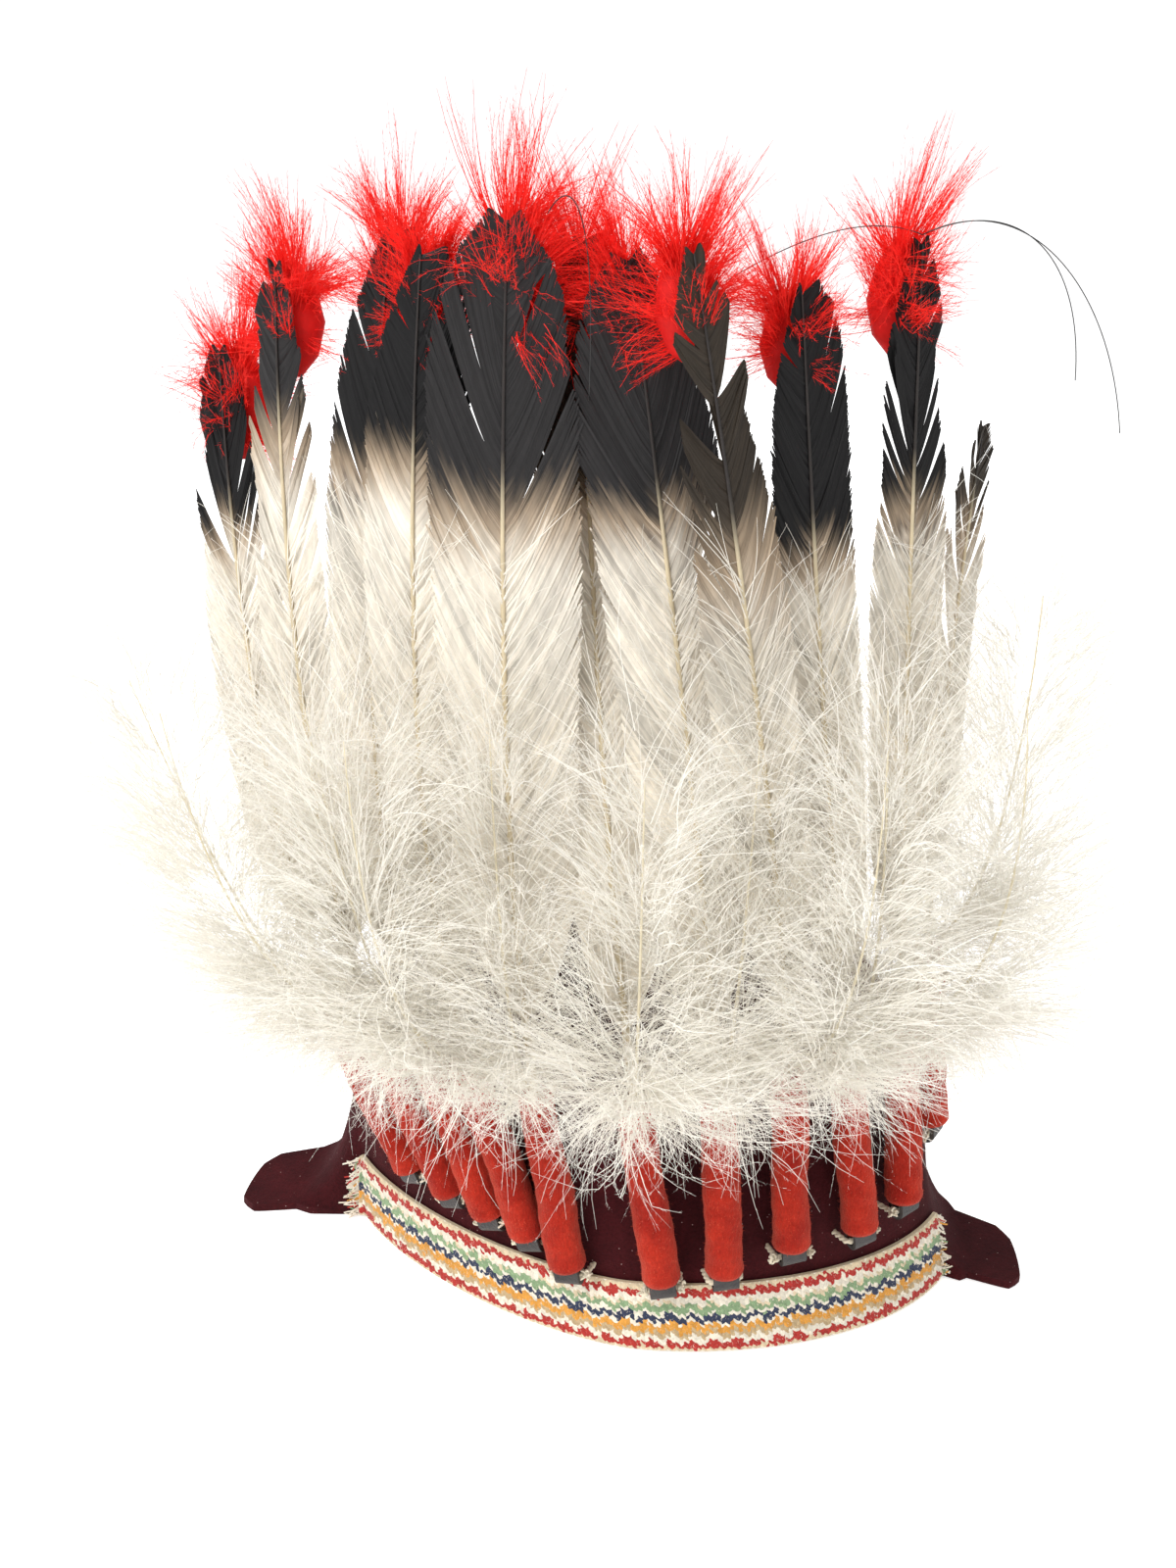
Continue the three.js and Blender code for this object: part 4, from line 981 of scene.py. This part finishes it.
def feather_side(build, rng, station, line, look, side, column):
    """The barbs on one side of the vane, in clumps that part a little and end in points."""
    table = np.array(OUTLINES[station["cut"]])
    start = (QUILL_DEPTH + 20) / line.length
    half_vane = station["vane"] / 2
    vane_length = line.length * (1 - start)
    n, k = 270, 7
    tau = np.linspace(0, 1, k)
    base = np.linspace(0, 0.985, n)
    group = clumps(rng, n, 6, 30)
    groups = group.max() + 1
    total = np.bincount(group)
    high_up = np.bincount(group, base) / total
    ragged = look["ragged"] * (0.12 + 0.88 * smooth((high_up - 0.38) / 0.3))
    spread = rng.normal(size=groups) * ragged
    bent = rng.normal(size=groups) * ragged
    wild = (rng.random(groups) < 0.35 * ragged) * ragged
    pinch = np.clip(rng.uniform(-0.06, 0.10, groups) + 0.75 * ragged * rng.random(groups), 0, 0.9)
    near = curve_through(table[:, 0], table[:, column], np.clip(base + 0.10, 0, 1))
    angle = np.radians(31 - 9 * base)
    rise = np.maximum(near, 0.25) * half_vane / np.tan(angle) / vane_length
    rise *= 1 + (0.10 * spread + 0.35 * wild)[group]
    end = np.clip(base + rise, 0, 1.0)
    reach = curve_through(table[:, 0], table[:, column], end) * half_vane
    reach *= (1 + 0.10 * bent + 0.25 * wild * rng.normal(size=groups))[group] + 0.02 * rng.normal(size=n)
    end_mean = (np.bincount(group, end) / total)[group]
    reach_mean = (np.bincount(group, reach) / total)[group]
    keep = 1 - pinch[group]
    end = np.clip(end_mean + (end - end_mean) * keep, base + 0.005, 1.0)
    reach = reach_mean + (reach - reach_mean) * keep
    climb = base[:, None] + (end - base)[:, None] * tau ** 1.12
    across = np.minimum(reach, half_vane * 1.08)[:, None] * tau ** 0.9
    share = start + climb * (1 - start)
    p, along, face, right = vane_frame(station, line, np.clip(share, 0, 1))
    lift = -0.006 * across ** 2 + (0.6 * bent[group])[:, None] * tau ** 2
    lift = lift + 0.10 * rng.normal(size=(n, 1)) * tau + (1.5 * wild * rng.normal(size=groups))[group][:, None] * tau ** 2
    centre = p + right * (side * across)[..., None] + face * lift[..., None]
    way = unit(np.gradient(centre, axis=1))
    sideways = unit(np.cross(face, way))
    tilt = 0.20 * rng.normal(size=(n, 1, 1))
    sideways = unit(sideways * np.cos(tilt) + face * np.sin(tilt))
    pitch = vane_length / n
    width = 0.62 * pitch * (1 - 0.55 * smooth((tau - 0.8) / 0.2))[None, :, None]
    shade = 1 + 0.10 * rng.normal(size=(n, 1)) + 0.06 * rng.normal(size=groups)[group][:, None]
    height = centre[..., 2] + 2.0 * rng.normal(size=groups)[group][:, None] + 1.2 * rng.normal(size=(n, 1))
    tint = feather_tint(height, look, np.clip(shade, 0.7, 1.35)[..., None])
    build.ribbons(centre, sideways * width, tint)


def feather_piece(number, station, line):
    rng = np.random.default_rng(500 + number)
    look = LOOKS[number - 1]
    start = (QUILL_DEPTH + 20) / line.length
    build = Build()
    for side, column in ((-1, 1), (1, 2)):
        feather_side(build, rng, station, line, look, side, column)
    # The shaft, pale below and dark where the vane is dark.
    share = np.linspace(0.0, 0.99, 46)
    p, along, face, right = vane_frame(station, line, share)
    radius = np.interp(share, [0, start, 1], [1.3, 1.0, 0.22])
    dark = smooth((p[:, 2] - look["turns"] + 4) / 16)
    horn = mix(np.broadcast_to(np.array([0.66, 0.56, 0.38]), (46, 3)),
               np.broadcast_to(np.array([0.035, 0.03, 0.028]), (46, 3)), dark)
    build.tube(p + face * 0.3, radius, 8, horn, start_side=right[0], squash=0.8)
    # White barbs that lie loose over the lower part of the vane.
    m = 170
    at = rng.uniform(0.0, 0.62, m) ** 1.1
    side = rng.choice([-1, 1], m)
    p, along, face, right = vane_frame(station, line, start + at * (1 - start))
    long = rng.uniform(14, 34, m)[:, None]
    off = right * side[:, None]
    go = unit(along * 0.8 + off * rng.uniform(0.15, 0.7, (m, 1)) + face * rng.uniform(0.03, 0.25, (m, 1)))
    c1 = p + face * 1.0 + go * long * 0.5
    c2 = c1 + unit(go + off * 0.3 + rng.normal(size=p.shape) * 0.3) * long * 0.5
    path = bezier([p + face * 0.6, c1, c2], np.linspace(0, 1, 9))
    wide = unit(np.cross(np.gradient(path, axis=1), face[:, None, :]))
    wide = wide * (0.15 * (1 - 0.8 * np.linspace(0, 1, 9)))[None, :, None]
    build.ribbons(path, wide, np.array([0.84, 0.80, 0.72]) * rng.uniform(0.85, 1.08, (m, 1))[:, None, :])
    dress(build, f"wing_feather_{number:02d}", VANE, "wing_feather", f"feather_{number:02d}")


# ---------------------------------------------------------------- down
def strand_set(build, rng, roots, ways, length, width, tint, steps, barbules, wave, fluff):
    """Fine tapering strips from roots that follow three directions, with barbules along them."""
    n = len(roots)
    length = np.asarray(length, float).reshape(n, 1)
    control = [roots]
    for way in ways:
        control.append(control[-1] + unit(way) * length / 3)
    t = np.linspace(0, 1, steps)
    path = bezier(control, t) + wander(rng, n, steps, wave) * (t ** 1.5)[None, :, None]
    path = np.clip(path, BOX_LOW, BOX_HIGH)
    way = unit(np.gradient(path, axis=1))
    flat = unit(np.cross(way, unit(rng.normal(size=(n, 1, 3)))))
    taper = (1 - 0.8 * t)[None, :, None]
    build.ribbons(path, flat * width * 0.5 * taper, tint)
    s = (np.arange(barbules)[None, :] + rng.random((n, barbules))) / barbules * 0.97
    at = s * (steps - 1)
    low = np.clip(at.astype(int), 0, steps - 2)
    f = (at - low)[..., None]
    rows = np.arange(n)[:, None]
    root = path[rows, low] * (1 - f) + path[rows, low + 1] * f
    along = way[rows, low]
    off = unit(np.cross(along, rng.normal(size=root.shape)))
    size = fluff * rng.uniform(0.7, 1.3, (n, barbules, 1)) * (1.12 - 0.62 * s[..., None])
    tip = root + unit(along * rng.uniform(0.8, 1.7, (n, barbules, 1)) + off) * size
    half = unit(np.cross(off, along)) * 0.056
    shade = np.broadcast_to(np.asarray(tint, float), (n, steps, 3))[:, :1].repeat(barbules, 1)
    build.spikes(root.reshape(-1, 3), half.reshape(-1, 3), tip.reshape(-1, 3), shade.reshape(-1, 3))


def locks(rng, number, size):
    """The lock that each strand belongs to, for number locks of size strands."""
    return np.repeat(np.arange(number), size)


def plume_piece(number, station, place):
    rng = np.random.default_rng(900 + number)
    root = place["top"] + place["axis"] * 2.6 + place["out"] * 3.5
    lean = unit([-math.tan(math.radians(station["plume_lean"])), 0, 1])
    front = unit(place["out"] * np.array([1, 1, 0]))
    sideways = np.array([-front[1], front[0], 0])
    bend = root + lean * PLUME_HEIGHT * 0.25 + front * station["plume_out"] * 1.25
    top = root + lean * PLUME_HEIGHT + front * station["plume_out"] * 0.8
    line = Line([root, bend, top])
    wide = station["plume_wide"]
    build = Build()

    def white(n):
        tone = 1 + 0.05 * rng.normal(size=(n, 1, 1))
        return np.clip(tone * np.array([0.86, 0.835, 0.775]), 0, 0.92)

    def around(n, forward):
        turn = rng.uniform(0, 2 * np.pi, n)
        flat = np.cos(turn)[:, None] * sideways + np.sin(turn)[:, None] * front
        return unit(flat + front * forward)

    def strands(number_of, size, s, out, ways, noise, length, barbules, fluff, width=0.27, stand=0.0):
        """Locks of strands: each lock shares a place and three directions."""
        lock = locks(rng, number_of, size)
        n = len(lock)
        place_at = np.clip(s[lock] + 0.03 * rng.normal(size=n), 0, 1)
        off = (stand * rng.random(number_of) ** 0.7)[lock][:, None]
        roots = line.at(place_at) + out[lock] * off + rng.normal(size=(n, 3)) * 1.2
        ways = [w[lock] + rng.normal(size=(n, 3)) * noise * (1 + 0.6 * i) for i, w in enumerate(ways)]
        long = length[lock] * rng.uniform(0.7, 1.1, n)
        strand_set(build, rng, roots, ways, long, width, white(n), 7, barbules, 1.6, fluff)

    # Locks that climb and open out all along the plume.
    m = 88
    s = rng.random(m) ** 1.3 * 0.88
    up = line.along(s)
    out = around(m, 0.3)
    open_by = rng.uniform(0.5, 1.7, (m, 1)) * (1.2 - 0.6 * s[:, None])
    curl = rng.normal(size=(m, 3))
    ways = [up + out * open_by, up * 0.7 + out * (0.5 + 0.5 * open_by) + curl * 0.3,
            up * rng.uniform(-0.6, 0.7, (m, 1)) + out * 0.8 + curl * 0.6]
    length = (0.8 + 0.02 * wide) * rng.uniform(32, 58, m) * (1 - 0.35 * s)
    strands(m, 11, s, out, ways, 0.26, length, 16, 1.8, stand=0.95 * wide)
    # Fluff at its foot, which spreads and hangs over the wraps.
    m = 35
    s = rng.random(m) ** 1.6 * 0.25
    out = around(m, 0.6)
    sink = rng.random((m, 1))
    curl = rng.normal(size=(m, 3))
    ways = [out + UP * (0.4 - 0.3 * sink), out * 0.9 - UP * (0.1 + 0.6 * sink) + curl * 0.15,
            out * 0.45 - UP * (0.1 + 0.8 * sink) + curl * 0.4]
    strands(m, 11, s, out, ways, 0.26, rng.uniform(24, 38, m), 15, 1.7, stand=8.0)
    # Long thin wisps that stand out of the mass.
    m = 90
    s = rng.uniform(0.1, 1.0, m)
    out = around(m, 0.35)
    up = line.along(s)
    ways = [up + out * rng.uniform(0.2, 0.8, (m, 1)), up + out * rng.uniform(0.3, 1.1, (m, 1)),
            up * 0.5 + out + rng.normal(size=(m, 3)) * 0.5]
    strands(m, 1, s, out, ways, 0.15, rng.uniform(34, 56, m), 12, 1.1, 0.24, stand=8.0)
    # The plume's own shaft.
    share = np.linspace(0, 0.9, 24)
    build.tube(line.at(share), np.interp(share, [0, 1], [0.5, 0.12]), 6, (0.84, 0.78, 0.62))
    dress(build, f"white_plume_{number:02d}", WHITE_DOWN, "white_down", f"down_plume_{number:02d}")


def tuft_piece(number, station, line):
    rng = np.random.default_rng(1300 + number)
    turn = math.radians(station["turn"])
    facing = np.array([math.sin(turn), -math.cos(turn), 0.0])
    right = np.array([math.cos(turn), math.sin(turn), 0.0])
    along = line.along(1.0)
    head = line.at(1.0) - along * 14 - facing * 8
    size = station["tuft"]
    build = Build()
    m = 46
    lock = locks(rng, m, 17)
    n = len(lock)
    s = rng.random(m)
    angle = rng.uniform(0, 2 * np.pi, m)
    out = np.cos(angle)[:, None] * right + np.sin(angle)[:, None] * facing * 0.7
    lift = rng.uniform(-0.6, 1.5, (m, 1)) + s[:, None] * 0.6
    curl = rng.normal(size=(m, 3))
    ways = [out + UP * lift, out * 0.9 + UP * lift + curl * 0.2, out * 0.8 + UP * (lift * 0.8) + curl * 0.4]
    ways = [w[lock] + rng.normal(size=(n, 3)) * 0.22 for w in ways]
    start = head + along * ((s[lock] - 0.55) * 20 * size)[:, None] + rng.normal(size=(n, 3)) * 0.8
    length = (rng.uniform(19, 31, m) * (0.8 + 0.25 * np.clip(lift[:, 0], 0, 1.5)))[lock] * size * rng.uniform(0.6, 1.05, n)
    tone = rng.random((n, 1, 1))
    tint = np.array([0.80, 0.012, 0.010]) * (1 - tone) + np.array([0.98, 0.040, 0.025]) * tone
    strand_set(build, rng, start, ways, length, 0.30, tint, 6, 21, 0.5, 2.6)
    knot = np.array([head + along * d * size for d in (-15, -10, -2, 6, 12)])
    build.tube(knot, np.array([2.0, 6.4, 8.2, 6.0, 1.0]) * size, 12, (0.74, 0.011, 0.009), right, 0.7)
    dress(build, f"scarlet_tuft_{number:02d}", RED_DOWN, "red_down", f"tip_tuft_{number:02d}")


def hair_piece(lines):
    """Thin black strands of horsehair that spring from two of the feathers' tips."""
    build = Build()
    high = lines[9].at(1.0)
    wide = lines[4].at(1.0)
    paths = [
        [high, high + (22, -4, 14), high + (44, -4, -8), high + (50, -2, -42)],
        [high, high + (20, -6, 12), high + (36, -6, 0), high + (38, -4, -30)],
        [high, high + (-14, -8, 6), high + (-30, -10, -2), high + (-44, -10, -12)],
        [wide + (9, -2, 0), wide + (14, -4, 10), wide + (20, -4, 4), wide + (20, -3, -40)],
    ]
    for control in paths:
        build.tube(bezier([np.asarray(c, float) for c in control], np.linspace(0, 1, 40)), 0.14, 5, (0.012,) * 3)
    dress(build, "black_horsehair", HAIR, "wing_feather")


# ---------------------------------------------------------------- the whole
add_camera()
add_studio()
places = [place_of(s) for s in STATIONS]
lines = [quill_line(s, p) for s, p in zip(STATIONS, places)]
cap_piece()
trim_piece()
lacing_piece(places)
hair_piece(lines)
for index, (station, place, line) in enumerate(zip(STATIONS, places, lines), start=1):
    loop_piece(index, place)
    wrap_piece(index, place)
    feather_piece(index, station, line)
    plume_piece(index, station, place)
    if station["tuft"]:
        tuft_piece(index, station, line)
